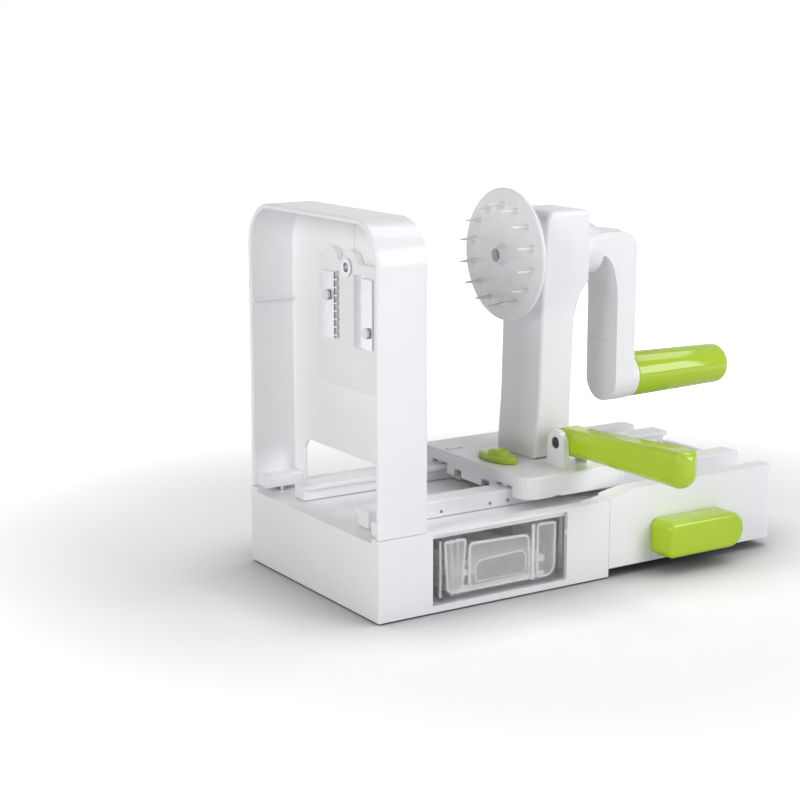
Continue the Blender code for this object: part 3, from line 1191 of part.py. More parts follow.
def build_lock_lever():
    """Suction lever on the near side of the rear module, round at its pivot."""
    low = LEVER_PIVOT_Z - LEVER_RADIUS
    high = LEVER_PIVOT_Z + LEVER_RADIUS
    outline = arc((LEVER_PIVOT_X, LEVER_PIVOT_Z), LEVER_RADIUS, -90.0, 90.0, 14)
    outline += arc((LEVER_X0 + 5.0, high - 5.0), 5.0, 90.0, 180.0, 4)
    outline += arc((LEVER_X0 + 4.0, low + 4.0), 4.0, 180.0, 270.0, 4)
    back = -BODY_HALF - 2.0 * GAP
    lever = prism("lock_lever", outline, "Y", back - LEVER_OUT, back)
    soften(lever, 1.8, 2)
    pivot = (LEVER_PIVOT_X, LEVER_PIVOT_Z)
    cut(lever, rod("bore", "Y", pivot, LEVER_SHAFT_RADIUS + GAP, back - LEVER_OUT + LEVER_FACE, back + OVER))
    return paint(lever, LIME_GREEN, 0.3)


def build_lever_shaft():
    """Shaft of the suction lever with the eccentric that lifts the stem."""
    pivot = (LEVER_PIVOT_X, LEVER_PIVOT_Z)
    start = -BODY_HALF - 2.0 * GAP - LEVER_OUT + LEVER_FACE + GAP
    shaft = rod("lever_shaft", "Y", pivot, LEVER_SHAFT_RADIUS, start, BEARING_Y[1] + 1.5, 24)
    centre = (LEVER_PIVOT_X, LEVER_PIVOT_Z + ECCENTRIC_THROW)
    join(shaft, rod("eccentric", "Y", centre, ECCENTRIC_RADIUS, -4.2, 4.2, 24))
    return paint(shaft, STEEL_GREY, 0.35, 1.0)


def build_suction_stem():
    """Stem that pulls the middle of the cup: a foot, a round stem and a yoke round the eccentric."""
    middle = LEVER_PIVOT_Z + ECCENTRIC_THROW
    window_half = ECCENTRIC_RADIUS + ECCENTRIC_THROW + YOKE_PLAY
    window_low = middle - ECCENTRIC_RADIUS - YOKE_PLAY
    window_high = middle + ECCENTRIC_RADIUS + YOKE_PLAY
    frame = 3.1
    xs = (LEVER_PIVOT_X - window_half - frame, LEVER_PIVOT_X + window_half + frame)
    stem = box("suction_stem", xs, (-4.5, 4.5), (window_low - frame, window_high + frame))
    window_x = (LEVER_PIVOT_X - window_half, LEVER_PIVOT_X + window_half)
    window = box("window", window_x, (-5.5, 5.5), (window_low, window_high))
    cut(stem, window)
    profile = [
        (0, STEM_FOOT_Z0), (STEM_FOOT_RADIUS, STEM_FOOT_Z0), (STEM_FOOT_RADIUS, STEM_FOOT_Z1),
        (STEM_RADIUS, STEM_FOOT_Z1), (STEM_RADIUS, window_low - 1.5), (0, window_low - 1.5),
    ]
    join(stem, lathe("rod", profile, "Z", (LEVER_PIVOT_X, 0.0), 20))
    return paint(stem, NYLON_WHITE, 0.4)


def build_suction_cup():
    """Soft suction cup under the rear module, open in its middle for the stem's foot."""
    floor = -FOOT_PROUD
    top = REAR_COVER_BOTTOM - GAP
    inner = STEM_FOOT_RADIUS + 0.5
    profile = [
        (inner, 1.6), (20.0, 1.2), (CUP_RADIUS - 8.0, 0.2), (CUP_RADIUS - 2.5, floor), (CUP_RADIUS, floor),
        (CUP_RADIUS, floor + 0.7), (CUP_RADIUS - 7.0, 1.8), (21.0, 3.2), (20.0, top), (14.5, top),
        (13.8, 3.6), (inner, 3.6),
    ]
    return paint(lathe("suction_cup", profile, "Z", (LEVER_PIVOT_X, 0.0), 32), CUP_GREY, 0.5)


def move_origin(names, point):
    """Put the origin of the named objects on their joint's axis."""
    target = Vector(place(point))
    for name in names:
        obj = bpy.data.objects[name]
        obj.data.transform(Matrix.Translation(-target))
        obj.location = target


def main():
    """Build every piece of the spiralizer."""
    clear_scene()
    build_front_base()
    build_rear_base()
    build_front_cover()
    build_rear_cover()
    build_cover_screws()
    build_rubber_feet()
    build_rail("rail_near", -1.0)
    build_rail("rail_far", 1.0)
    build_rail_screws()
    build_blade_housing()
    build_housing_screws()
    build_blade_set()
    build_spares()
    build_blade_drawer()
    build_carriage()
    build_guide_shoe("guide_shoe_near", -1.0, GUIDE_SHOE_NEAR_X)
    build_guide_shoe("guide_shoe_far", 1.0, GUIDE_SHOE_FAR_X)
    build_tower()
    build_tower_cover()
    build_tower_screws()
    build_food_holder()
    build_holder_screw()
    build_crank_shaft()
    build_bush("front_bush", FRONT_BUSH_X)
    build_bush("rear_bush", REAR_BUSH_X)
    build_crank_arm()
    build_crank_screw()
    build_grip_pin()
    build_crank_grip()
    build_push_handle()
    build_handle_pin()
    build_latch_knob()
    build_latch_spindle()
    build_lock_lever()
    build_lever_shaft()
    build_suction_stem()
    build_suction_cup()
    turning = ["food_holder", "holder_screw", "crank_shaft", "crank_arm", "crank_screw", "grip_pin"]
    move_origin(turning, (DISC_X1, 0.0, AXIS_Z))
    move_origin(["crank_grip"], (CRANK_ARM_X1, 0.0, GRIP_Z))
    move_origin(["push_handle"], (HANDLE_X0, PIN_Y, PIN_Z))
    move_origin(["latch_knob", "latch_spindle"], (LATCH_X, LATCH_Y, CARRIAGE_TOP))
    move_origin(["lock_lever", "lever_shaft"], (LEVER_PIVOT_X, -BODY_HALF, LEVER_PIVOT_Z))
    move_origin(["suction_stem"], (LEVER_PIVOT_X, 0.0, LEVER_PIVOT_Z))


main()
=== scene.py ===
# %% [markdown]
# # A hand cranked spiralizer
# This lesson dresses the measured solids of a spiralizer: an arch that holds the blades, a carriage with a
# tower and a crank that pushes and turns the work, and a two-part base with a clear drawer and a suction
# lever. The solids give every place and size. Each cell below gives one finish, or replaces one solid by a
# finer surface that has the soft edges of a moulded piece.

# %% Start from the measured solids
import math

import bmesh
import bpy
import numpy as np
from mathutils import Matrix, Vector


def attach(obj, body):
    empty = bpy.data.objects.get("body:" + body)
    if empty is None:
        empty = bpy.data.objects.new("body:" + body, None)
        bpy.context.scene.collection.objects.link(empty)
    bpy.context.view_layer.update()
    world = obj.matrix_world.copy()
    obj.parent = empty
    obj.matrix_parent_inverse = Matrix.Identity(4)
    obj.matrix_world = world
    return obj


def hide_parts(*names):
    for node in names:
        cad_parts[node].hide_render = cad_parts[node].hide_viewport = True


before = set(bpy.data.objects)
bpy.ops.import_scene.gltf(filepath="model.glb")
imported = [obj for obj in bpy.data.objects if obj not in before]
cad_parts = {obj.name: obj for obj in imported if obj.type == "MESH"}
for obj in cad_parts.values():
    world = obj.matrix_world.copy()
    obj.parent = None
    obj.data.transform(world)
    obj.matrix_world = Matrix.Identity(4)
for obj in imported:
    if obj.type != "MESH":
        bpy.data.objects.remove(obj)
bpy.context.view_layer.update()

# %% [markdown]
# ## Millimetres on the object
# The pieces are described in millimetres in the frame that the object was measured in: x runs along the
# base from the open face of the arch, y runs across it with the near side negative, and z is zero at the
# lower edge of the front module. One function turns such points into the scene's metres, so that every
# number below can be checked against the real thing with a ruler.

# %% From millimetres to the scene
MIDDLE_X = 149.0
MIDDLE_Y = -34.3
FOOT_HIGH = 1.0


def to_scene(points):
    """Shift points (n, 3) by the frame's middle and the feet's height, and divide by 1000."""
    points = np.asarray(points, float)
    return (points - np.array([MIDDLE_X, MIDDLE_Y, -FOOT_HIGH])) / 1000.0


print("crank axis at", to_scene([[130.5, 0.0, 178.1]])[0].round(4))

# %% [markdown]
# ## Colours
# Colours are written as the hex values that a paint or screen chart would give. The renderer works with
# linear light, so one function applies the sRGB curve to each channel: values up to 0.04045 are divided by
# 12.92, the others are raised to the power 2.4.

# %% Hex colour to linear
def linear(hex_code):
    """Read "#RRGGBB" and give the linear (r, g, b, 1) that the shader sockets take."""
    parts = np.array([int(hex_code[i:i + 2], 16) for i in (1, 3, 5)]) / 255.0
    curve = np.where(parts <= 0.04045, parts / 12.92, ((parts + 0.055) / 1.055) ** 2.4)
    return (*[float(value) for value in curve], 1.0)


print("lime in linear light", [round(value, 3) for value in linear("#A6C732")])

# %% [markdown]
# ## One way to add a node
# Every material below is a small graph. A single helper adds a node, sets its options and its sockets, and
# joins its inputs to other nodes, so that a material reads as a list of what lies under the surface.

# %% Add a node with its settings and links
def add(tree, kind, options=None, values=None, links=None):
    """Add a node: options are its properties, values its sockets, links (socket: (node, output))."""
    node = tree.nodes.new(kind)
    for key, value in (options or {}).items():
        setattr(node, key, value)
    for key, value in (values or {}).items():
        node.inputs[key].default_value = value
    for key, (source, output) in (links or {}).items():
        tree.links.new(source.outputs[output], node.inputs[key])
    return node


def per_metre(millimetres):
    """Give the noise scale whose features are about that many millimetres across."""
    return 1000.0 / millimetres


def start(name, values):
    """Start a material with a principled surface and the piece's own coordinates."""
    surface = bpy.data.materials.new(name)
    surface.use_nodes = True
    tree = surface.node_tree
    tree.nodes.clear()
    shader = add(tree, "ShaderNodeBsdfPrincipled", values=values)
    add(tree, "ShaderNodeOutputMaterial", links={"Surface": (shader, "BSDF")})
    place = add(tree, "ShaderNodeTexCoord")
    return surface, tree, shader, place


print("a 2 mm pattern has the scale", per_metre(2.0))

# %% [markdown]
# ## Moulded ABS
# The body is white ABS, injection moulded in a tool with a fine satin finish. Real mouldings are never
# quite even: the colour drifts by a percent over a hand's width where the melt cooled, the skin has a fine
# orange peel of about a millimetre, and handling leaves short hair scratches that only change the gloss.
# The peel would be 0.3 mm on the real piece. It is drawn at 0.9 mm so that it still shows in the picture.

# %% ABS finishes
def moulded_abs(name, light, dark, roughness, peel, drift=45.0, bump=0.05):
    """ABS: colour drifts between two tones, roughness follows fine noise and hair scratches."""
    surface, tree, shader, place = start(name, {"IOR": 1.54})
    broad = add(tree, "ShaderNodeTexNoise", values={"Scale": per_metre(drift), "Detail": 3.0},
                links={"Vector": (place, "Object")})
    tone = add(tree, "ShaderNodeMix", {"data_type": "RGBA"}, links={"Factor": (broad, "Fac")})
    tone.inputs["A"].default_value = linear(light)
    tone.inputs["B"].default_value = linear(dark)
    tree.links.new(tone.outputs["Result"], shader.inputs["Base Color"])
    stretch = add(tree, "ShaderNodeMapping", values={"Scale": (0.06, 1.0, 1.0), "Rotation": (0.3, 0.2, 0.7)},
                  links={"Vector": (place, "Object")})
    hairs = add(tree, "ShaderNodeTexNoise", values={"Scale": per_metre(0.8), "Detail": 2.0},
                links={"Vector": (stretch, "Vector")})
    scuff = add(tree, "ShaderNodeMapRange", values={
        "From Min": 0.62, "From Max": 0.8, "To Min": roughness, "To Max": roughness + 0.12,
    }, links={"Value": (hairs, "Fac")})
    tree.links.new(scuff.outputs["Result"], shader.inputs["Roughness"])
    skin = add(tree, "ShaderNodeTexNoise", values={"Scale": per_metre(peel), "Detail": 2.0},
               links={"Vector": (place, "Object")})
    relief = add(tree, "ShaderNodeBump", values={"Strength": bump, "Distance": 0.0001},
                 links={"Height": (skin, "Fac")})
    tree.links.new(relief.outputs["Normal"], shader.inputs["Normal"])
    return surface


white_abs = moulded_abs("white_abs_satin_moulded", "#F2F2F5", "#ECECEF", 0.28, 0.9)
# painted shade: a darker, rougher copy of the white ABS, drawn darker for the inner covers because they lie
# in shade
painted_shade_abs = moulded_abs("white_abs_inner_cover_painted_shade", "#E6E6E8", "#DEDEE1", 0.42, 0.9)
insert_abs = moulded_abs("white_abs_blade_insert", "#F0F0F2", "#E7E7EA", 0.34, 0.9)
lime_abs = moulded_abs("lime_abs_polished_mould", "#B3D214", "#A9C90C", 0.10, 1.4, 30.0, 0.012)
print("ABS finishes:", white_abs.name, painted_shade_abs.name, insert_abs.name, lime_abs.name)

# %% [markdown]
# ## Clear drawer
# The drawer is clear SAN, a hard clear kitchen plastic moulded in a polished tool. It lets nearly all
# light through, bends it at 1.57 and shows faint flow lines of several millimetres where the melt ran in
# from its gate, which make the things behind it waver a little.

# %% Clear plastic
def clear_moulding(name, tint, roughness, cover, clear):
    """SAN: transmission, low roughness, wavy flow lines in the bump; cover is the share that meets light."""
    surface, tree, shader, place = start(name, {
        "Base Color": linear(tint), "Roughness": roughness, "IOR": 1.57, "Transmission Weight": clear,
        "Alpha": cover,
    })
    stretch = add(tree, "ShaderNodeMapping", values={"Scale": (1.0, 1.0, 3.0)},
                  links={"Vector": (place, "Object")})
    flow = add(tree, "ShaderNodeTexNoise", values={"Scale": per_metre(14.0), "Detail": 1.0},
               links={"Vector": (stretch, "Vector")})
    relief = add(tree, "ShaderNodeBump", values={"Strength": 0.12, "Distance": 0.001},
                 links={"Height": (flow, "Fac")})
    tree.links.new(relief.outputs["Normal"], shader.inputs["Normal"])
    return surface


clear_san = clear_moulding("clear_san_moulded", "#FBFCFC", 0.035, 0.22, 1.0)
rib_san = clear_moulding("clear_san_thick_rib", "#FAFAFB", 0.1, 0.85, 0.25)
frost_light = clear_moulding("clear_san_frosted_light", "#F8F9FB", 0.3, 0.3, 0.35)
frost_dark = clear_moulding("clear_san_frosted_deep", "#7E7977", 0.3, 0.6, 0.1)
print("clear finishes:", clear_san.name, rib_san.name, frost_light.name, frost_dark.name)

# %% [markdown]
# ## Steel
# Blades are stainless strip that was ground along its length, so the surface is drawn into fine parallel
# lines. Shafts, pins and screws are turned, with a duller and more even shine. The grinding lines are
# about 0.05 mm apart on the real blade and are drawn at 0.4 mm, the finest that the picture can hold.

# %% Ground and turned steel
def ground_steel(name, tint, roughness, along, line, depth):
    """Steel: noise squeezed along one direction gives lines in the roughness and the bump."""
    surface, tree, shader, place = start(name, {"Base Color": linear(tint), "Metallic": 1.0})
    stretch = add(tree, "ShaderNodeMapping", values={"Scale": along}, links={"Vector": (place, "Object")})
    lines = add(tree, "ShaderNodeTexNoise", values={"Scale": per_metre(line), "Detail": 3.0},
                links={"Vector": (stretch, "Vector")})
    gloss = add(tree, "ShaderNodeMapRange", values={
        "From Min": 0.3, "From Max": 0.7, "To Min": roughness - 0.06, "To Max": roughness + 0.1,
    }, links={"Value": (lines, "Fac")})
    tree.links.new(gloss.outputs["Result"], shader.inputs["Roughness"])
    relief = add(tree, "ShaderNodeBump", values={"Strength": depth, "Distance": 0.0001},
                 links={"Height": (lines, "Fac")})
    tree.links.new(relief.outputs["Normal"], shader.inputs["Normal"])
    return surface


blade_steel = ground_steel("stainless_ground_blade", "#D3D5D8", 0.22, (1.0, 1.0, 0.05), 0.4, 0.25)
turned_steel = ground_steel("stainless_turned_shaft", "#C9CBCE", 0.28, (1.0, 0.3, 0.3), 0.5, 0.12)
# painted shade: the handle's pin is real steel, drawn dark grey to stand in for the shade in the ear's pin
# hole
pin_steel_painted_shade = ground_steel("steel_pin_painted_shade", "#4A4B4D", 0.4, (1.0, 1.0, 1.0), 0.5, 0.15)
zinc_steel = ground_steel("zinc_plated_screw", "#C4C7CB", 0.34, (1.0, 1.0, 1.0), 0.7, 0.2)
print("metals:", blade_steel.name, turned_steel.name, zinc_steel.name)

# %% [markdown]
# ## Nylon and rubber
# The bushes, guide shoes and the suction stem are natural nylon, milky and slightly waxy. The feet are a
# dark rubber with a matt, dusty skin, and the suction cup is soft translucent grey PVC that is smooth
# enough to seal on a worktop.

# %% Nylon and rubber finishes
def soft_plastic(name, light, dark, roughness, grain, bump, more):
    """Nylon or rubber: two tones mixed by fine noise, which also gives the bump."""
    surface, tree, shader, place = start(name, {"Roughness": roughness, **more})
    speck = add(tree, "ShaderNodeTexNoise", values={"Scale": per_metre(grain), "Detail": 4.0},
                links={"Vector": (place, "Object")})
    tone = add(tree, "ShaderNodeMix", {"data_type": "RGBA"}, links={"Factor": (speck, "Fac")})
    tone.inputs["A"].default_value = linear(light)
    tone.inputs["B"].default_value = linear(dark)
    tree.links.new(tone.outputs["Result"], shader.inputs["Base Color"])
    relief = add(tree, "ShaderNodeBump", values={"Strength": bump, "Distance": 0.0002},
                 links={"Height": (speck, "Fac")})
    tree.links.new(relief.outputs["Normal"], shader.inputs["Normal"])
    return surface


nylon = soft_plastic("nylon_natural_moulded", "#DEDBD2", "#D3CFC4", 0.42, 6.0, 0.05,
                     {"IOR": 1.53, "Subsurface Weight": 0.2, "Subsurface Scale": 0.002})
foot_rubber = soft_plastic("rubber_dark_moulded", "#2C2C2D", "#1F1F20", 0.78, 1.0, 0.3, {"IOR": 1.52})
cup_pvc = soft_plastic("pvc_soft_grey_cup", "#A6A9AB", "#979A9D", 0.38, 8.0, 0.05,
                       {"IOR": 1.53, "Subsurface Weight": 0.15, "Subsurface Scale": 0.003})
print("soft finishes:", nylon.name, foot_rubber.name, cup_pvc.name)

# %% [markdown]
# ## Dress the solids
# Each solid keeps its place and its mesh and takes the finish that its real piece has. A table from finish
# to pieces keeps this in one place, and the cell prints any solid that has been left without a finish.

# %% Give every solid its finish
FINISHES = {
    white_abs: [
        "blade_housing", "front_base", "rear_base", "rail_near", "rail_far", "carriage", "tower",
        "tower_cover", "food_holder", "crank_arm",
    ],
    # painted shade: the front and rear covers take the darker copy of the white ABS
    painted_shade_abs: ["front_cover", "rear_cover"],
    insert_abs: ["blade_insert", "spare_insert_coarse", "spare_insert_fine"],
    lime_abs: ["crank_grip", "push_handle", "latch_knob", "lock_lever"],
    clear_san: ["blade_drawer"],
    blade_steel: [
        "straight_blade", "comb_blade", "coring_ring", "spare_blade_coarse", "spare_blade_fine",
        "spare_comb_coarse", "spare_comb_fine",
    ],
    turned_steel: ["crank_shaft", "grip_pin", "latch_spindle", "lever_shaft"],
    # painted shade: the handle pin is drawn dark for the shade in its hole
    pin_steel_painted_shade: ["handle_pin"],
    nylon: ["front_bush", "rear_bush", "guide_shoe_near", "guide_shoe_far", "suction_stem"],
    foot_rubber: [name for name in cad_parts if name.startswith("rubber_foot")],
    cup_pvc: ["suction_cup"],
    zinc_steel: [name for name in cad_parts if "screw" in name],
}
dressed = set()
for finish, names in FINISHES.items():
    for name in names:
        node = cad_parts[name]
        node.data.materials.clear()
        node.data.materials.append(finish)
        dressed.add(name)
print("dressed", len(dressed), "of", len(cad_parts), "left:", sorted(set(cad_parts) - dressed))

# %% [markdown]
# ## Curves and skins
# The solids above are plain. A moulded piece has soft rims, because a sharp edge would chip and would not
# fill in the mould. The pieces that show most are made again as finer skins: a flat outline with rounded
# corners is extruded, and each rim is turned over by a quarter circle. Bars that change their section on
# the way are lofted from ring to ring, and round pieces are turned from a profile.

# %% Outlines
def fillet(corners, steps=8):
    """Round each corner (x, y, r) by an arc that touches both sides r / tan(h) away, h half its angle."""
    corners = np.array(corners, float)
    point, radius = corners[:, :2], corners[:, 2:]
    back = np.roll(point, 1, axis=0) - point
    onward = np.roll(point, -1, axis=0) - point
    back /= np.linalg.norm(back, axis=1, keepdims=True)
    onward /= np.linalg.norm(onward, axis=1, keepdims=True)
    half = np.arccos(np.clip((back * onward).sum(axis=1, keepdims=True), -1.0, 1.0)) / 2.0
    middle = back + onward
    middle /= np.maximum(np.linalg.norm(middle, axis=1, keepdims=True), 1e-9)
    centre = point + middle * radius / np.sin(half)
    first = point + back * radius / np.tan(half) - centre
    last = point + onward * radius / np.tan(half) - centre
    begin = np.arctan2(first[:, 1], first[:, 0])
    sweep = (np.arctan2(last[:, 1], last[:, 0]) - begin + np.pi) % (2.0 * np.pi) - np.pi
    angle = begin[:, None] + sweep[:, None] * np.linspace(0.0, 1.0, steps + 1)
    turned = centre[:, None] + radius[:, None] * np.stack([np.cos(angle), np.sin(angle)], axis=-1)
    loop = turned.reshape(-1, 2)
    return loop[np.linalg.norm(loop - np.roll(loop, 1, axis=0), axis=1) > 1e-4]


def ellipse(centre, half_a, half_b, count=64):
    """A closed loop centre + (a cos t, b sin t)."""
    angle = np.arange(count) * 2.0 * np.pi / count
    return np.stack([centre[0] + half_a * np.cos(angle), centre[1] + half_b * np.sin(angle)], axis=1)


def inset(loop, depth):
    """Shift a counter-clockwise loop inwards: p + d (n1 + n2) / (1 + n1.n2), n1 and n2 its sides' normals."""
    side = np.roll(loop, -1, axis=0) - loop
    side /= np.linalg.norm(side, axis=1, keepdims=True)
    after = np.stack([-side[:, 1], side[:, 0]], axis=1)
    before = np.roll(after, 1, axis=0)
    return loop + depth * (before + after) / (1.0 + (before * after).sum(axis=1, keepdims=True))


print("a square with 2 mm corners has", len(fillet([(0, 0, 2), (9, 0, 2), (9, 9, 2), (0, 9, 2)])), "points")

# %% [markdown]
# ## From outlines to closed skins
# A slab is an outline pushed along one axis, with its two rims turned over. A loft joins rings that can
# change their size, and a turned piece is a loft of circles. All three come down to rings joined by
# four-sided faces, so one function builds them, and pieces are then added to or cut from each other.

# %% Skins
SMALLEST_RING = 1e-4
MERGE_DISTANCE = 1e-6


def stand(loop, axis, level):
    """Set flat points at a level of an axis: x takes (y, z), y takes (x, z) and z takes (x, y)."""
    return np.insert(loop, "xyz".index(axis), level, axis=1)


def piece(name, points, faces):
    """Make an object from points in millimetres, with doubled points merged and faces turned outwards."""
    mesh = bpy.data.meshes.new(name)
    mesh.from_pydata(to_scene(points).tolist(), [], faces)
    work = bmesh.new()
    work.from_mesh(mesh)
    bmesh.ops.remove_doubles(work, verts=work.verts, dist=MERGE_DISTANCE)
    bmesh.ops.recalc_face_normals(work, faces=work.faces)
    work.to_mesh(mesh)
    work.free()
    made = bpy.data.objects.new(name, mesh)
    bpy.context.scene.collection.objects.link(made)
    return made


def loft(name, rings):
    """Join rings (m, n, 3) by four-sided faces and close the first and the last by a flat face."""
    rings = np.asarray(rings, float)
    many, count = rings.shape[:2]
    corner = np.arange(many - 1)[:, None] * count + np.arange(count)
    beside = np.arange(many - 1)[:, None] * count + (np.arange(count) + 1) % count
    faces = np.stack([corner, beside, beside + count, corner + count], axis=-1).reshape(-1, 4).tolist()
    faces += [list(range(count)), list(range((many - 1) * count, many * count))]
    return piece(name, rings.reshape(-1, 3), faces)


def slab(name, loop, axis, low, high, soft=(0.0, 0.0), steps=5):
    """Extrude a loop. A rim of radius r is inset by r (1 - sin t) at the depth r (1 - cos t).

    A negative radius flares the rim outwards, which rounds the mouth of a hole that the slab cuts.
    """
    quarter = np.linspace(0.0, np.pi / 2.0, steps + 1)
    rings = []
    for end, way, radius in ((low, 1.0, soft[0]), (high, -1.0, soft[1])):
        turn = quarter[::int(way)] if radius else quarter[-1:]
        rim = []
        for t in turn:
            depth = abs(radius) * (1.0 - np.cos(t))
            rim.append(stand(inset(loop, radius * (1.0 - np.sin(t))), axis, end + way * depth))
        if radius < 0.0:
            beyond = stand(inset(loop, radius), axis, end - way)
            rim = [beyond] + rim if way > 0.0 else rim + [beyond]
        rings += rim
    return loft(name, rings)


def turned(name, profile, axis, centre, count=96):
    """Turn (radius, level) pairs round an axis: each level becomes a circle of that radius."""
    rings = []
    for radius, level in profile:
        radius = max(radius, SMALLEST_RING)
        rings.append(stand(ellipse(centre, radius, radius, count), axis, level))
    return loft(name, rings)


def combine(target, tools, operation):
    """Add, cut or keep what solids share, write the result into the target, and remove the tools."""
    for tool in tools:
        step = target.modifiers.new("step", "BOOLEAN")
        step.operation = operation
        step.solver = "EXACT"
        step.object = tool
    graph = bpy.context.evaluated_depsgraph_get()
    target.data = bpy.data.meshes.new_from_object(target.evaluated_get(graph))
    target.modifiers.clear()
    for tool in tools:
        bpy.data.objects.remove(tool)
    return target


def finish_piece(made, finish, body, *nodes, crease=32.0, soft=0.0):
    """Smooth the faces up to a crease angle, round what is left sharp, and put the piece on its body."""
    mesh = made.data
    mesh.materials.clear()
    mesh.materials.append(finish)
    mesh.shade_smooth()
    mesh.set_sharp_from_angle(angle=math.radians(crease))
    if soft:
        bevel = made.modifiers.new("soft_edges", "BEVEL")
        bevel.width = soft / 1000.0
        bevel.segments = 3
        bevel.limit_method = "ANGLE"
        bevel.angle_limit = math.radians(crease)
        bevel.harden_normals = True
    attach(made, body)
    if nodes:
        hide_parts(*nodes)
    print(made.name, len(mesh.vertices), "points on", body)
    return made


print("points closer than", MERGE_DISTANCE * 1000.0, "mm become one")

# %% [markdown]
# ## Blade housing
# The housing is one moulding: an arch 3 mm thick that is open to the left and closed behind by a plate.
# Its open rim is fully rounded, so it catches a light line all round. The cavity that is cut from the arch
# flares at its mouth for the same reason. The plate has a tunnel for the carriage and the window of the
# blade insert. Thin ribs stiffen the sides and the middle, and blocks at the feet take the screws.

# %% Arch with its back plate
ARCH_LOW = 44.9
ARCH_TOP = 210.1
ARCH_HALF = 70.0
ARCH_DEEP = 30.5
ARCH_WALL = 3.0
ARCH_CORNER = 24.0
ARCH_RIM = 1.45
ARCH_BACK_RIM = 1.2
MOUTH_FLARE = -1.4
PLATE_X = 28.0
AXIS_Z = 178.1
RIB_LEVEL = (152.7, 154.3)
FOOT_TOP = 52.0
WINDOW_HALF = 26.8
WINDOW_LEVEL = (117.6, 178.8)
TUNNEL_HALF, TUNNEL_TOP, TUNNEL_CORNER = 57.0, 72.0, 8.0
CORE_RADIUS = 6.4


def arch_loop(half, top, corner, low):
    """Loop of an arch in (y, z): straight sides and two rounded upper corners."""
    return fillet([(half, low, 0.0), (half, top, corner), (-half, top, corner), (-half, low, 0.0)], 16)


def block(name, xs, ys, zs, round_by=0.0):
    """A block from three ranges, its long edges along x rounded."""
    (y0, y1), (z0, z1) = sorted(ys), sorted(zs)
    loop = fillet([(y0, z0, round_by), (y1, z0, round_by), (y1, z1, round_by), (y0, z1, round_by)], 4)
    return slab(name, loop, "x", xs[0], xs[1])


outside = arch_loop(ARCH_HALF, ARCH_TOP, ARCH_CORNER, ARCH_LOW - 4.0)
housing = slab("housing_shell", outside, "x", 0.0, ARCH_DEEP, (ARCH_RIM, ARCH_BACK_RIM))
inside = ARCH_HALF - ARCH_WALL
cavity = arch_loop(inside, ARCH_TOP - ARCH_WALL, ARCH_CORNER - ARCH_WALL, ARCH_LOW - 8.0)
combine(housing, [slab("cavity", cavity, "x", 0.0, PLATE_X, (MOUTH_FLARE, 1.0))], "DIFFERENCE")
sunk = PLATE_X + 1.0
ribs = [block("rib", (PLATE_X - 0.8, sunk), (-1.4, 0.4), (188.0, ARCH_TOP - 2.0))]
for side in (-1.0, 1.0):
    wall = side * (inside + 1.0)
    ribs.append(block("rib", (1.6, sunk), (side * (inside - 2.0), wall), RIB_LEVEL, 0.5))
    ribs.append(block("foot", (3.5, sunk), (side * 57.2, wall), (ARCH_LOW - 2.0, FOOT_TOP), 0.8))
    ribs.append(block("guide", (25.3, sunk), (side * 31.4 + 1.0, side * 33.4 + 1.0), (112.0, 176.0)))
combine(housing, ribs, "UNION")
window = fillet([
    (-WINDOW_HALF, WINDOW_LEVEL[0], 1.5), (WINDOW_HALF, WINDOW_LEVEL[0], 1.5),
    (WINDOW_HALF, WINDOW_LEVEL[1], 1.5), (-WINDOW_HALF, WINDOW_LEVEL[1], 1.5),
], 6)
tunnel = arch_loop(TUNNEL_HALF, TUNNEL_TOP, TUNNEL_CORNER, ARCH_LOW - 8.0)
combine(housing, [
    slab("tunnel", tunnel, "x", PLATE_X, ARCH_DEEP, (-0.6, -0.8)),
    slab("window", window, "x", PLATE_X - 1.0, ARCH_DEEP, (0.0, -0.5)),
    slab("core", ellipse((0.0, AXIS_Z), CORE_RADIUS, CORE_RADIUS), "x", PLATE_X - 1.0, ARCH_DEEP + 1.0),
    block("bottom", (-2.0, ARCH_DEEP + 2.0), (-80.0, 80.0), (ARCH_LOW - 12.0, ARCH_LOW)),
], "DIFFERENCE")
finish_piece(housing, white_abs, "base", "blade_housing")

# %% [markdown]
# ## Tower
# The tower is a hollow column that leans back a little and widens at the top, where the crank's shaft runs
# through it. Its right side is closed by a cover that sits in the opening. The side walls are flat with
# soft rims of about 2 mm, which is what gives the narrow highlights along its edges.

# %% Column
TOWER_HALF = 19.25
TOWER_WALL = 3.0
TOWER_RIM = 2.4
TOWER_BORE = 7.0
TOWER_SIDE_VIEW = [
    (163.5, 60.1, 0.0), (164.1, 88.0, 40.0), (165.9, 141.0, 14.0), (170.6, 155.0, 4.0), (176.2, 161.5, 5.0),
    (176.2, 203.0, 2.9), (144.4, 203.0, 7.0), (143.7, 187.0, 60.0), (141.9, 153.0, 60.0),
    (141.0, 130.0, 60.0), (140.3, 95.0, 60.0), (139.2, 78.0, 60.0), (138.2, 60.1, 0.0),
]
column = fillet(TOWER_SIDE_VIEW, 6)
tower = slab("tower_shell", column, "y", -TOWER_HALF, TOWER_HALF, (TOWER_RIM, TOWER_RIM), 7)
hollow = fillet([(142.5, 63.1, 1.0), (200.0, 63.1, 0.0), (200.0, 200.0, 0.0), (148.5, 200.0, 3.0)], 4)
combine(tower, [
    slab("hollow", hollow, "y", TOWER_WALL - TOWER_HALF, TOWER_HALF - TOWER_WALL),
    slab("bore", ellipse((0.0, AXIS_Z), TOWER_BORE, TOWER_BORE), "x", 130.0, 160.0),
], "DIFFERENCE")
finish_piece(tower, white_abs, "carriage", "tower")

# %% [markdown]
# ## Crank arm and grip
# The arm is one white moulding. Its leg starts at the tower round the hub on the shaft, runs to the right,
# turns down in a bend and ends round at the grip. It is made where two outlines cross: its side view, and
# the long round-ended shape seen from the right. A low crown lies over the leg, the upper half of a cone
# round the shaft's axis. All edges are rounded afterwards, and two fine lines cross the inner face.

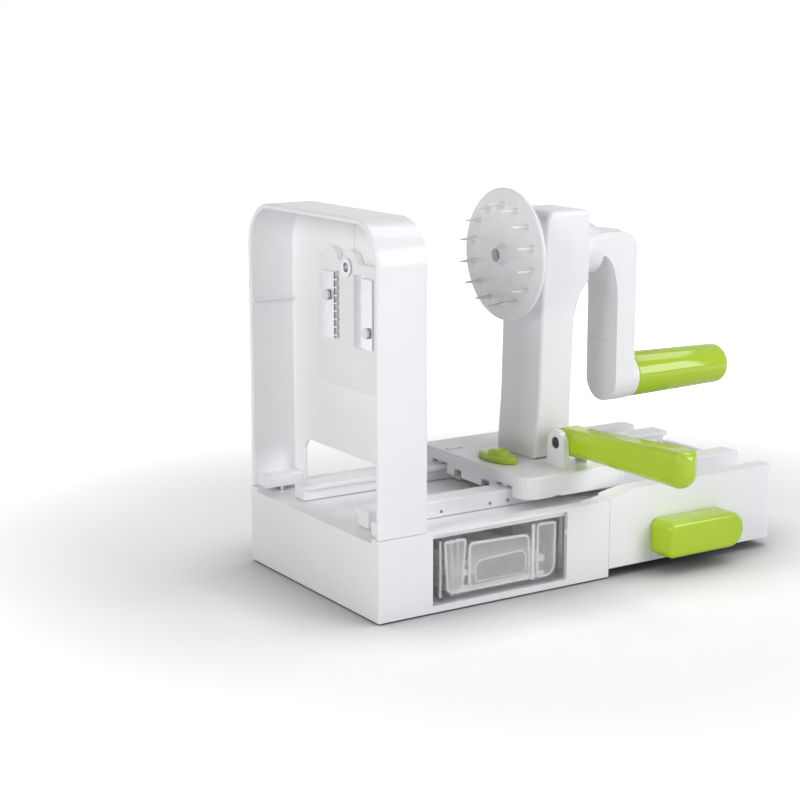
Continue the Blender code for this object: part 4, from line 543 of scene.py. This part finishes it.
# %% Arm
ARM_HALF = 14.0
ARM_INNER, ARM_OUTER = 201.5, 215.5
GRIP_Z = 98.8
HUB_START, HUB_END, HUB_RADIUS = 177.0, 190.0, 15.0
LEG_START = 177.3
LEG_LOW, LEG_HIGH = 174.6, 188.0
BEND_RADIUS = 11.0
INNER_BEND_Z = 146.0
CROWN = [(0.0, 178.3), (14.6, 178.3), (9.95, 211.5), (0.0, 211.5)]
LINE_LEVELS = (122.0, 151.0)
quarter = np.linspace(np.pi / 2.0, 0.0, 17)
inner_bend = np.stack([
    HUB_END + (ARM_INNER - HUB_END) * np.cos(quarter),
    INNER_BEND_Z + (LEG_LOW - INNER_BEND_Z) * np.sin(quarter),
], axis=1)
outer_bend = np.stack([
    ARM_OUTER - BEND_RADIUS + BEND_RADIUS * np.sin(quarter),
    LEG_HIGH - BEND_RADIUS + BEND_RADIUS * np.cos(quarter),
], axis=1)
outer_bend = outer_bend[np.argsort(outer_bend[:, 1])]
foot = [[ARM_INNER, 70.0], [ARM_OUTER, 70.0]]
bend = np.vstack([inner_bend, foot, outer_bend, [[LEG_START, LEG_HIGH], [LEG_START, LEG_LOW]]])
arm = slab("arm_moulding", bend, "y", -ARM_HALF - 2.0, ARM_HALF + 2.0)
end_round = fillet([
    (-ARM_HALF, GRIP_Z - ARM_HALF, ARM_HALF - 0.01), (ARM_HALF, GRIP_Z - ARM_HALF, ARM_HALF - 0.01),
    (ARM_HALF, 194.0, 0.0), (-ARM_HALF, 194.0, 0.0),
], 20)
combine(arm, [slab("end_round", end_round, "x", HUB_START, 220.0)], "INTERSECT")
crown = turned("crown", CROWN, "x", (0.0, AXIS_Z))
combine(crown, [block("below", (170.0, 220.0), (-20.0, 20.0), (150.0, AXIS_Z))], "DIFFERENCE")
hub = ellipse((0.0, AXIS_Z), HUB_RADIUS, HUB_RADIUS, 96)
combine(arm, [
    slab("hub", hub, "x", HUB_START, HUB_END, (0.0, 0.8), 3),
    slab("boss", ellipse((0.0, GRIP_Z), 13.5, 13.5, 96), "x", 215.0, 220.5), crown,
], "UNION")
combine(arm, [
    slab("bore", ellipse((0.0, AXIS_Z), 4.5, 4.5, 32), "x", 170.0, 187.3),
    slab("pin_hole", ellipse((0.0, GRIP_Z), 3.8, 3.8, 32), "x", 205.2, 224.0),
    slab("screw_hole", ellipse((183.5, 0.0), 2.3, 2.3, 32), "z", AXIS_Z, 200.0),
], "DIFFERENCE")
finish_piece(arm, white_abs, "crank", "crank_arm", soft=0.5)
for level in LINE_LEVELS:
    low, high = level - 0.5, level + 0.5
    line_loop = fillet([(-13.0, low, 0.4), (13.0, low, 0.4), (13.0, high, 0.4), (-13.0, high, 0.4)], 3)
    line = slab("arm_line_%d" % level, line_loop, "x", ARM_INNER - 0.3, ARM_INNER + 0.5, (0.3, 0.0), 3)
    finish_piece(line, white_abs, "crank")

# %% [markdown]
# ## Grip
# The grip is a polished sleeve that spins on its pin. It is turned from one profile, a barrel that narrows a
# little to a domed end, so that it mirrors the lamps as streaks along its length. Turning is chosen over
# lofting, because every section of the real sleeve is a circle.

# %% Grip
GRIP_START, GRIP_END = 220.8, 298.0
GRIP_RADIUS, GRIP_TIP_RADIUS, GRIP_DOME = 13.5, 12.2, 8.0
PIN_HOLE_RADIUS, PIN_HOLE_END = 3.8, 288.3
dome = np.linspace(0.0, np.pi / 2.0, 17)
profile = [(0.0, PIN_HOLE_END), (PIN_HOLE_RADIUS, PIN_HOLE_END), (PIN_HOLE_RADIUS, GRIP_START)]
profile += [(12.9, GRIP_START), (13.3, GRIP_START + 0.2), (GRIP_RADIUS, GRIP_START + 0.7)]
profile += [(GRIP_TIP_RADIUS * math.cos(t), GRIP_END - GRIP_DOME + GRIP_DOME * math.sin(t)) for t in dome]
grip = turned("grip_moulding", profile, "x", (0.0, GRIP_Z))
finish_piece(grip, lime_abs, "grip", "crank_grip", crease=50.0)

# %% [markdown]
# ## Push handle
# The handle is a glossy bar that folds round the pin in the carriage's ear. It is lofted along its length:
# every ring is a rounded rectangle whose width, lower and upper edge follow the bar. At the pin the edges
# follow a circle. At the free end the width follows a half circle seen from above, the upper edge a small
# arc and the lower edge a larger one, so the rings close to a soft round nose.

# %% Handle bar
PIN_Y, PIN_Z = -35.6, 73.0
ROOT_RADIUS = 8.1
NOSE_Y = -138.6
BAR_X0, BAR_X1 = 144.7, 159.0
BAR_LOW, BAR_HIGH = 65.2, 86.3
PEAK_Y = -125.0
TOP_ROUND, BELLY_ROUND = 2.3, 6.6
NOSE_UP, NOSE_DOWN = 5.0, 9.5
PIN_HOLE = 3.5
RISE_POWER = 1.2
DROP_RATE, BELLY_RATE = 8.0, 5.0


def rounded_rings(width, height, radius, steps=8):
    """Rounded rectangles of half widths (m), half heights (m) and corner radii (m, 4), upper ones first."""
    sides = np.array([(1.0, 1.0), (-1.0, 1.0), (-1.0, -1.0), (1.0, -1.0)])
    angle = np.radians(np.arange(4)[:, None] * 90.0 + np.linspace(0.0, 90.0, steps + 1))
    arc = np.stack([np.cos(angle), np.sin(angle)], axis=-1)
    middle = (np.stack([width, height], axis=1)[:, None] - radius[..., None]) * sides
    return (middle[:, :, None] + radius[:, :, None, None] * arc).reshape(len(width), -1, 2)


def circle_part(distance, radius):
    """Half chord of a circle at a distance from its centre, sqrt(r^2 - d^2), and r before the centre."""
    return np.sqrt(np.maximum(radius ** 2 - np.maximum(distance, 0.0) ** 2, 0.0))


sweep = (1.0 - np.cos(np.linspace(0.0, np.pi, 121))) / 2.0
ROOT_Y = PIN_Y + ROOT_RADIUS
along = ROOT_Y + (NOSE_Y - ROOT_Y) * sweep
share = np.clip((PIN_Y - along) / (PIN_Y - PEAK_Y), 0.0, 1.0)
rise = (BAR_HIGH - PIN_Z - ROOT_RADIUS) * share ** RISE_POWER
drop = (PIN_Z - ROOT_RADIUS - BAR_LOW) * np.clip(share * DROP_RATE, 0.0, 1.0)
root = circle_part(along - PIN_Y, ROOT_RADIUS)
upper = PIN_Z + root + rise
lower = PIN_Z - root - drop
upper -= NOSE_UP - circle_part(NOSE_Y + NOSE_UP - along, NOSE_UP)
lower += NOSE_DOWN - circle_part(NOSE_Y + NOSE_DOWN - along, NOSE_DOWN)
half_width = (BAR_X1 - BAR_X0) / 2.0
width = circle_part(NOSE_Y + half_width - along, half_width)
height = (upper - lower) / 2.0
belly = TOP_ROUND + (BELLY_ROUND - TOP_ROUND) * np.clip(share * BELLY_RATE, 0.0, 1.0)
wanted = np.stack([np.full_like(belly, TOP_ROUND)] * 2 + [belly] * 2, axis=1)
radius = np.minimum(wanted, np.minimum(width, height)[:, None] * 0.98)
flat = rounded_rings(width, height, radius)
rings = np.empty(flat.shape[:2] + (3,))
rings[..., 0] = (BAR_X0 + BAR_X1) / 2.0 + flat[..., 0]
rings[..., 1] = along[:, None]
rings[..., 2] = (upper + lower)[:, None] / 2.0 + flat[..., 1]
bar = loft("handle_moulding", rings)
bore = ellipse((PIN_Y, PIN_Z), PIN_HOLE, PIN_HOLE, 32)
combine(bar, [slab("bore", bore, "x", 140.0, 165.0)], "DIFFERENCE")
finish_piece(bar, lime_abs, "push_handle", "push_handle", crease=40.0)

# %% [markdown]
# ## Shapes behind the drawer's front
# Through the drawer's front one sees clear shapes: a tapered column on the left, a low frame with a darker
# window in the middle, a panel with a rounded corner on the right, and thin posts between them. They are
# moulded on the back of the front panel as ridges about a millimetre high, with thin frosted faces inside,
# and the light bends and brightens along their edges.

# %% Ribs of the drawer
RIB_FRONT, RIB_BACK = -67.75, -66.45
FACE_LEVEL, WINDOW_FACE_LEVEL = (-67.7, -67.45), (-67.2, -66.95)
FACE_SHARE = 0.9
RIB_LOW, RIB_HIGH = 6.5, 38.0


def ridge(name, corners, wide):
    """A closed ridge: a rounded loop in (x, z) and the same loop inset by the ridge's width as its hole."""
    outer = fillet(corners, 6)
    made = slab(name, outer, "y", RIB_FRONT, RIB_BACK, (0.2, 0.4), 3)
    hole = slab("hole", inset(outer, wide), "y", RIB_FRONT - 1.0, RIB_BACK + 1.0)
    return combine(made, [hole], "DIFFERENCE")


COLUMN = [(44.5, 8.5, 2.4), (55.0, 8.5, 2.4), (57.0, 37.5, 2.0), (42.5, 37.5, 2.0)]
FRAME = [(58.5, 9.0, 2.0), (100.0, 9.0, 3.0), (99.0, 33.5, 4.0), (58.5, 34.5, 3.0)]
WINDOW = [(62.5, 11.5, 2.0), (97.0, 11.5, 2.0), (97.0, 25.5, 5.0), (62.5, 24.0, 5.0)]
SIDE = [(104.0, 7.0, 2.0), (117.0, 7.0, 6.5), (117.0, 38.0, 2.0), (104.0, 38.0, 2.0)]
for name, corners, wide, frost, level in (
    ("column", COLUMN, 1.3, frost_light, FACE_LEVEL), ("frame", FRAME, 1.3, frost_light, FACE_LEVEL),
    ("window", WINDOW, 0.9, frost_dark, WINDOW_FACE_LEVEL), ("side", SIDE, 1.2, frost_light, FACE_LEVEL),
):
    finish_piece(ridge("drawer_" + name, corners, wide), rib_san, "drawer", crease=40.0)
    face = slab("drawer_" + name + "_face", inset(fillet(corners, 6), wide * FACE_SHARE), "y", *level)
    finish_piece(face, frost, "drawer", crease=40.0)

# %% Thin posts
POST_Y, POST_DEEP, POST_RIM = -67.1, 0.6, 0.3
for x, radius in ((101.8, 1.2), (47.5, 0.55), (51.5, 0.55), (40.3, 0.7)):
    oval = ellipse((x, POST_Y), radius, POST_DEEP, 24)
    post = slab("drawer_post_%d" % x, oval, "z", RIB_LOW, RIB_HIGH, (POST_RIM, POST_RIM))
    finish_piece(post, rib_san, "drawer", crease=40.0)

# %% [markdown]
# ## Lock lever
# The lever of the suction lock is round at its pivot and has a generous soft rim on the outside, where the
# fingers pull it. It is a plain slab with two different rims, because its thickness is the same all over.

# %% Lever
LEVER_FRONT, LEVER_BACK = -87.0, -70.6
LEVER_LEFT, LEVER_RIGHT = 184.0, 241.0
LEVER_LOW, LEVER_HIGH = 9.0, 30.0
PIVOT_END, TIP_LOW, TIP_HIGH = 10.4, 4.0, 5.0
OUTER_RIM, WALL_RIM = 2.6, 0.5
LEVER_PIVOT, SHAFT_HOLE = (230.5, 19.5), 4.3
lever_loop = fillet([
    (LEVER_LEFT, LEVER_LOW, TIP_LOW), (LEVER_RIGHT, LEVER_LOW, PIVOT_END),
    (LEVER_RIGHT, LEVER_HIGH, PIVOT_END), (LEVER_LEFT, LEVER_HIGH, TIP_HIGH),
], 14)
lever = slab("lever_moulding", lever_loop, "y", LEVER_FRONT, LEVER_BACK, (OUTER_RIM, WALL_RIM), 7)
bore = ellipse(LEVER_PIVOT, SHAFT_HOLE, SHAFT_HOLE, 32)
combine(lever, [slab("bore", bore, "y", LEVER_FRONT + 4.0, -60.0)], "DIFFERENCE")
finish_piece(lever, lime_abs, "lever", "lock_lever", crease=40.0)

# %% [markdown]
# ## Latch knob
# The knob is an oval plate with a hump that the thumb turns. The hump is lofted from ovals that shrink as
# they rise, slowly at first and fast near the top, which gives a rounded crown without a sharp rim.

# %% Knob
KNOB_X, KNOB_Y = 121.0, -6.5
PLATE_LOW, PLATE_HIGH = 60.1, 63.5
PLATE_HALF_WIDE, PLATE_HALF_LONG = 7.5, 16.5
HUMP_HALF_WIDE, HUMP_HALF_LONG, HUMP_SHIFT = 6.8, 8.6, -1.0
SOCKET_RADIUS, SOCKET_TOP = 4.2, 63.8
HUMP = [
    (1.0, 61.5), (1.0, 63.3), (0.93, 63.9), (0.88, 64.9),
    (0.8, 65.7), (0.66, 66.3), (0.45, 66.6), (0.1, 66.7),
]
plate = ellipse((KNOB_X, KNOB_Y), PLATE_HALF_WIDE, PLATE_HALF_LONG, 96)
knob = slab("knob_moulding", plate, "z", PLATE_LOW, PLATE_HIGH, (0.3, 1.1))
centre = (KNOB_X, KNOB_Y + HUMP_SHIFT)
rings = []
for share, z in HUMP:
    rings.append(stand(ellipse(centre, HUMP_HALF_WIDE * share, HUMP_HALF_LONG * share, 64), "z", z))
combine(knob, [loft("hump", rings)], "UNION")
socket = ellipse((KNOB_X, KNOB_Y), SOCKET_RADIUS, SOCKET_RADIUS, 32)
combine(knob, [slab("socket", socket, "z", 55.0, SOCKET_TOP)], "DIFFERENCE")
finish_piece(knob, lime_abs, "latch", "latch_knob", crease=40.0)

# %% [markdown]
# ## Disc with spikes
# The holder is a thin disc with a ring of slender spikes, which are wider where they grow out of the disc,
# as moulded spikes are, and a short sleeve in the middle. The disc, its spikes and the sleeve are turned
# one by one and then joined, so that the holder is one closed surface like the real moulding.

# %% Food holder
DISC_X0, DISC_X1 = 127.9, 130.5
DISC_RIM = (DISC_X1 - DISC_X0) / 2.0
DISC_RADIUS = 36.8 + DISC_RIM
NECK_RADIUS, NECK_END = 11.0, 142.0
SHAFT_RADIUS, SHAFT_START = 4.5, 132.7
rim = np.linspace(-np.pi / 2.0, np.pi / 2.0, 9)
disc = [(0.0, DISC_X0)]
disc += [
    (DISC_RADIUS - DISC_RIM + DISC_RIM * math.cos(t), (DISC_X0 + DISC_X1) / 2.0 + DISC_RIM * math.sin(t))
    for t in rim
]
disc += [(NECK_RADIUS + 1.6, DISC_X1), (NECK_RADIUS + 0.5, DISC_X1 + 0.5), (NECK_RADIUS, DISC_X1 + 1.6)]
disc += [(NECK_RADIUS, NECK_END - 0.6), (NECK_RADIUS - 0.6, NECK_END)]
disc += [(SHAFT_RADIUS, NECK_END), (SHAFT_RADIUS, SHAFT_START), (0.0, SHAFT_START)]
holder = turned("holder_moulding", disc, "x", (0.0, AXIS_Z), 128)

# %% Spikes and sleeve
SPIKES = 14
SPIKE_RING = 28.9
SPIKE_TIP = 117.0
SPIKE_FOOT = DISC_X0 + 0.3
SLEEVE = [(0.0, 122.5), (4.6, 122.5), (5.6, DISC_X0 - 0.6), (6.4, DISC_X0 + 0.2), (0.0, DISC_X0 + 0.2)]
level = np.linspace(0.0, 1.0, 9)
thick = 0.35 + 1.1 * level + 0.5 * np.maximum(level - 0.8, 0.0) / 0.2
spike_x = SPIKE_TIP + 0.2 + (SPIKE_FOOT - SPIKE_TIP - 0.2) * level
spike_profile = [(0.0, SPIKE_TIP), *zip(thick, spike_x), (0.0, SPIKE_FOOT)]
spikes = []
for angle in 2.0 * np.pi * (np.arange(SPIKES) + 0.5) / SPIKES:
    centre = (-SPIKE_RING * math.cos(angle), AXIS_Z + SPIKE_RING * math.sin(angle))
    spikes.append(turned("spike", spike_profile, "x", centre, 20))
spikes.append(turned("sleeve", SLEEVE, "x", (0.0, AXIS_Z), 64))
combine(holder, spikes, "UNION")
combine(holder, [
    slab("socket", ellipse((0.0, AXIS_Z), 4.0, 4.0, 48), "x", 120.0, DISC_X0),
    slab("screw_hole", ellipse((0.0, AXIS_Z), 1.8, 1.8, 32), "x", 125.0, 134.0),
], "DIFFERENCE")
finish_piece(holder, white_abs, "crank", "food_holder", crease=35.0)

# %% [markdown]
# ## Floor and surroundings
# The object stands on a plain white floor. Close to the object the floor is an ordinary pale surface, so
# that it takes the soft shadow, and a painted shadow darkens its colour and its glow where the object closes
# in on it. Further out it turns into an even white glow, as a studio sweep that is lit from behind does, so
# that it meets the white surroundings without a horizon.

# %% Floor
FLOOR_HALF = 6.0
SHADOW_REACH = (0.2, 0.62)
NEAR_GLOW = 0.24
# painted shadow: reach and strength of the occlusion darkening, and the dark grey it paints into the floor
PAINTED_SHADOW_REACH = 0.06
PAINTED_SHADOW_POWER = 1.5
PAINTED_SHADOW_TINT, FLOOR_TINT = "#55555A", "#F1F1F2"


def seen_directly(tree):
    """Give 1 for rays that look at a thing: from the camera, off a shiny surface or through a clear one."""
    path = add(tree, "ShaderNodeLightPath")
    first = add(tree, "ShaderNodeMath", {"operation": "MAXIMUM"},
                links={0: (path, "Is Camera Ray"), 1: (path, "Is Glossy Ray")})
    return add(tree, "ShaderNodeMath", {"operation": "MAXIMUM"},
               links={0: (first, "Value"), 1: (path, "Is Transmission Ray")})


def white_floor(name):
    """Pale diffuse floor plus a glow that grows with the distance; a painted shadow darkens both close to the
    object.
    """
    surface = bpy.data.materials.new(name)
    surface.use_nodes = True
    tree = surface.node_tree
    tree.nodes.clear()
    # painted shadow: where an occlusion test finds the object close, the floor's colour is mixed towards a
    # dark grey and its glow is dimmed
    near = add(tree, "ShaderNodeAmbientOcclusion", {"samples": 8}, {"Distance": PAINTED_SHADOW_REACH})
    open_share = add(tree, "ShaderNodeMath", {"operation": "POWER"}, {1: PAINTED_SHADOW_POWER}, {0: (near, "AO")})
    tone = add(tree, "ShaderNodeMix", {"data_type": "RGBA"}, links={"Factor": (open_share, "Value")})
    tone.inputs["A"].default_value = linear(PAINTED_SHADOW_TINT)
    tone.inputs["B"].default_value = linear(FLOOR_TINT)
    shader = add(tree, "ShaderNodeBsdfPrincipled", values={"Roughness": 0.7},
                 links={"Base Color": (tone, "Result")})
    place = add(tree, "ShaderNodeTexCoord")
    reach = add(tree, "ShaderNodeVectorMath", {"operation": "LENGTH"}, links={0: (place, "Object")})
    glow = add(tree, "ShaderNodeMapRange", {"interpolation_type": "SMOOTHSTEP"}, {
        "From Min": SHADOW_REACH[0], "From Max": SHADOW_REACH[1], "To Min": NEAR_GLOW, "To Max": 1.0,
    }, {"Value": (reach, "Value")})
    shaded = add(tree, "ShaderNodeMath", {"operation": "MULTIPLY"},
                 links={0: (glow, "Result"), 1: (open_share, "Value")})
    power = add(tree, "ShaderNodeMath", {"operation": "MULTIPLY"},
                links={0: (shaded, "Value"), 1: (seen_directly(tree), "Value")})
    lamp = add(tree, "ShaderNodeEmission", values={"Color": (1.0, 1.0, 1.0, 1.0)},
               links={"Strength": (power, "Value")})
    both = add(tree, "ShaderNodeAddShader", links={0: (shader, "BSDF"), 1: (lamp, "Emission")})
    add(tree, "ShaderNodeOutputMaterial", links={"Surface": (both, "Shader")})
    return surface


floor_mesh = bpy.data.meshes.new("studio_floor")
corners = FLOOR_HALF * np.array([[-1, -1, 0], [1, -1, 0], [1, 1, 0], [-1, 1, 0]], float)
floor_mesh.from_pydata(corners.tolist(), [], [[0, 1, 2, 3]])
floor_mesh.materials.append(white_floor("studio_floor_white_painted_shadow"))
floor = bpy.data.objects.new("studio_floor", floor_mesh)
bpy.context.scene.collection.objects.link(floor)
print("floor", 2 * FLOOR_HALF, "m wide")

# %% [markdown]
# ## White surroundings
# What the camera, a mirror or a clear piece sees round the object is pure white. What lights the object is
# a much weaker warm grey, because the lamps below do the lighting. Two brightnesses keep the page white
# without washing out the pale faces.

# %% White surroundings
ROOM_LIGHT = 0.12
ROOM_TINT = "#FFF7F0"
world = bpy.data.worlds.new("studio_world")
bpy.context.scene.world = world
world.use_nodes = True
world_tree = world.node_tree
world_tree.nodes.clear()
seen = seen_directly(world_tree)
level = add(world_tree, "ShaderNodeMapRange", values={"To Min": ROOM_LIGHT, "To Max": 1.0},
            links={"Value": (seen, "Value")})
tint = add(world_tree, "ShaderNodeMix", {"data_type": "RGBA"}, links={"Factor": (seen, "Value")})
tint.inputs["A"].default_value = linear(ROOM_TINT)
tint.inputs["B"].default_value = linear("#FFFFFF")
sky = add(world_tree, "ShaderNodeBackground",
          links={"Color": (tint, "Result"), "Strength": (level, "Result")})
add(world_tree, "ShaderNodeOutputWorld", links={"Surface": (sky, "Background")})
print("room light", ROOM_LIGHT)

# %% [markdown]
# ## Lamps
# In the photograph the faces towards the near side are the brightest, the inside of the arch is lit from
# the left, and the faces of the tower and the crank arm that look to the left are a warm mid grey, because
# the arch stands in their light. So the strongest soft box stands at the near right, a weaker one at the
# left in front of the arch, and a wide weak one hangs above.

# %% Lamps
def soft_lamp(name, place, target, size, power, tint):
    """A square area lamp at a place, turned to face a target."""
    light = bpy.data.lights.new(name, "AREA")
    light.shape = "SQUARE"
    light.size = size
    light.energy = power
    light.color = linear(tint)[:3]
    lamp = bpy.data.objects.new(name, light)
    lamp.location = place
    aim = Vector(target) - Vector(place)
    lamp.rotation_euler = aim.to_track_quat("-Z", "Y").to_euler()
    bpy.context.scene.collection.objects.link(lamp)
    return lamp


LAMP_TARGET = (0.0, 0.0, 0.1)
soft_lamp("near_box", (0.62, -1.1, 0.55), LAMP_TARGET, 0.75, 9.6, "#FAFAFF")
soft_lamp("left_box", (-1.05, -0.35, 0.5), LAMP_TARGET, 0.5, 6.2, "#FFFEFC")
soft_lamp("top_box", (0.5, -0.05, 1.15), LAMP_TARGET, 0.7, 4.4, "#FDFDFF")

# %% [markdown]
# ## The photograph's viewpoint
# The camera was solved from the straight edges of the base and the round disc. It stands about a metre
# off at the near left, a little above the object, with a long lens, so that the base runs off to the
# right with little perspective.

# %% Camera
AZIMUTH = -32.55
ELEVATION = 11.78
LENS = 80.37
SENSOR = 36.0
CAMERA_PLACE = (-469.03, -825.44, 305.14)


def camera_axes(azimuth, elevation):
    """Right, up and back: back points from the object to the camera, up is back x right."""
    a = math.radians(azimuth)
    e = math.radians(elevation)
    back = Vector((math.sin(a) * math.cos(e), -math.cos(a) * math.cos(e), math.sin(e)))
    right = Vector((math.cos(a), math.sin(a), 0.0))
    return right, back.cross(right), back


right, up, back = camera_axes(AZIMUTH, ELEVATION)
camera_data = bpy.data.cameras.new("photo_camera")
camera_data.lens = LENS
camera_data.sensor_width = SENSOR
camera_data.clip_start = 0.01
camera = bpy.data.objects.new("photo_camera", camera_data)
turn = Matrix((right, up, back)).transposed().to_4x4()
camera.matrix_world = Matrix.Translation(Vector(to_scene([CAMERA_PLACE])[0])) @ turn
bpy.context.scene.collection.objects.link(camera)
bpy.context.scene.camera = camera
bpy.context.scene.view_settings.view_transform = "Standard"
print("camera at", [round(value, 4) for value in camera.matrix_world.translation])
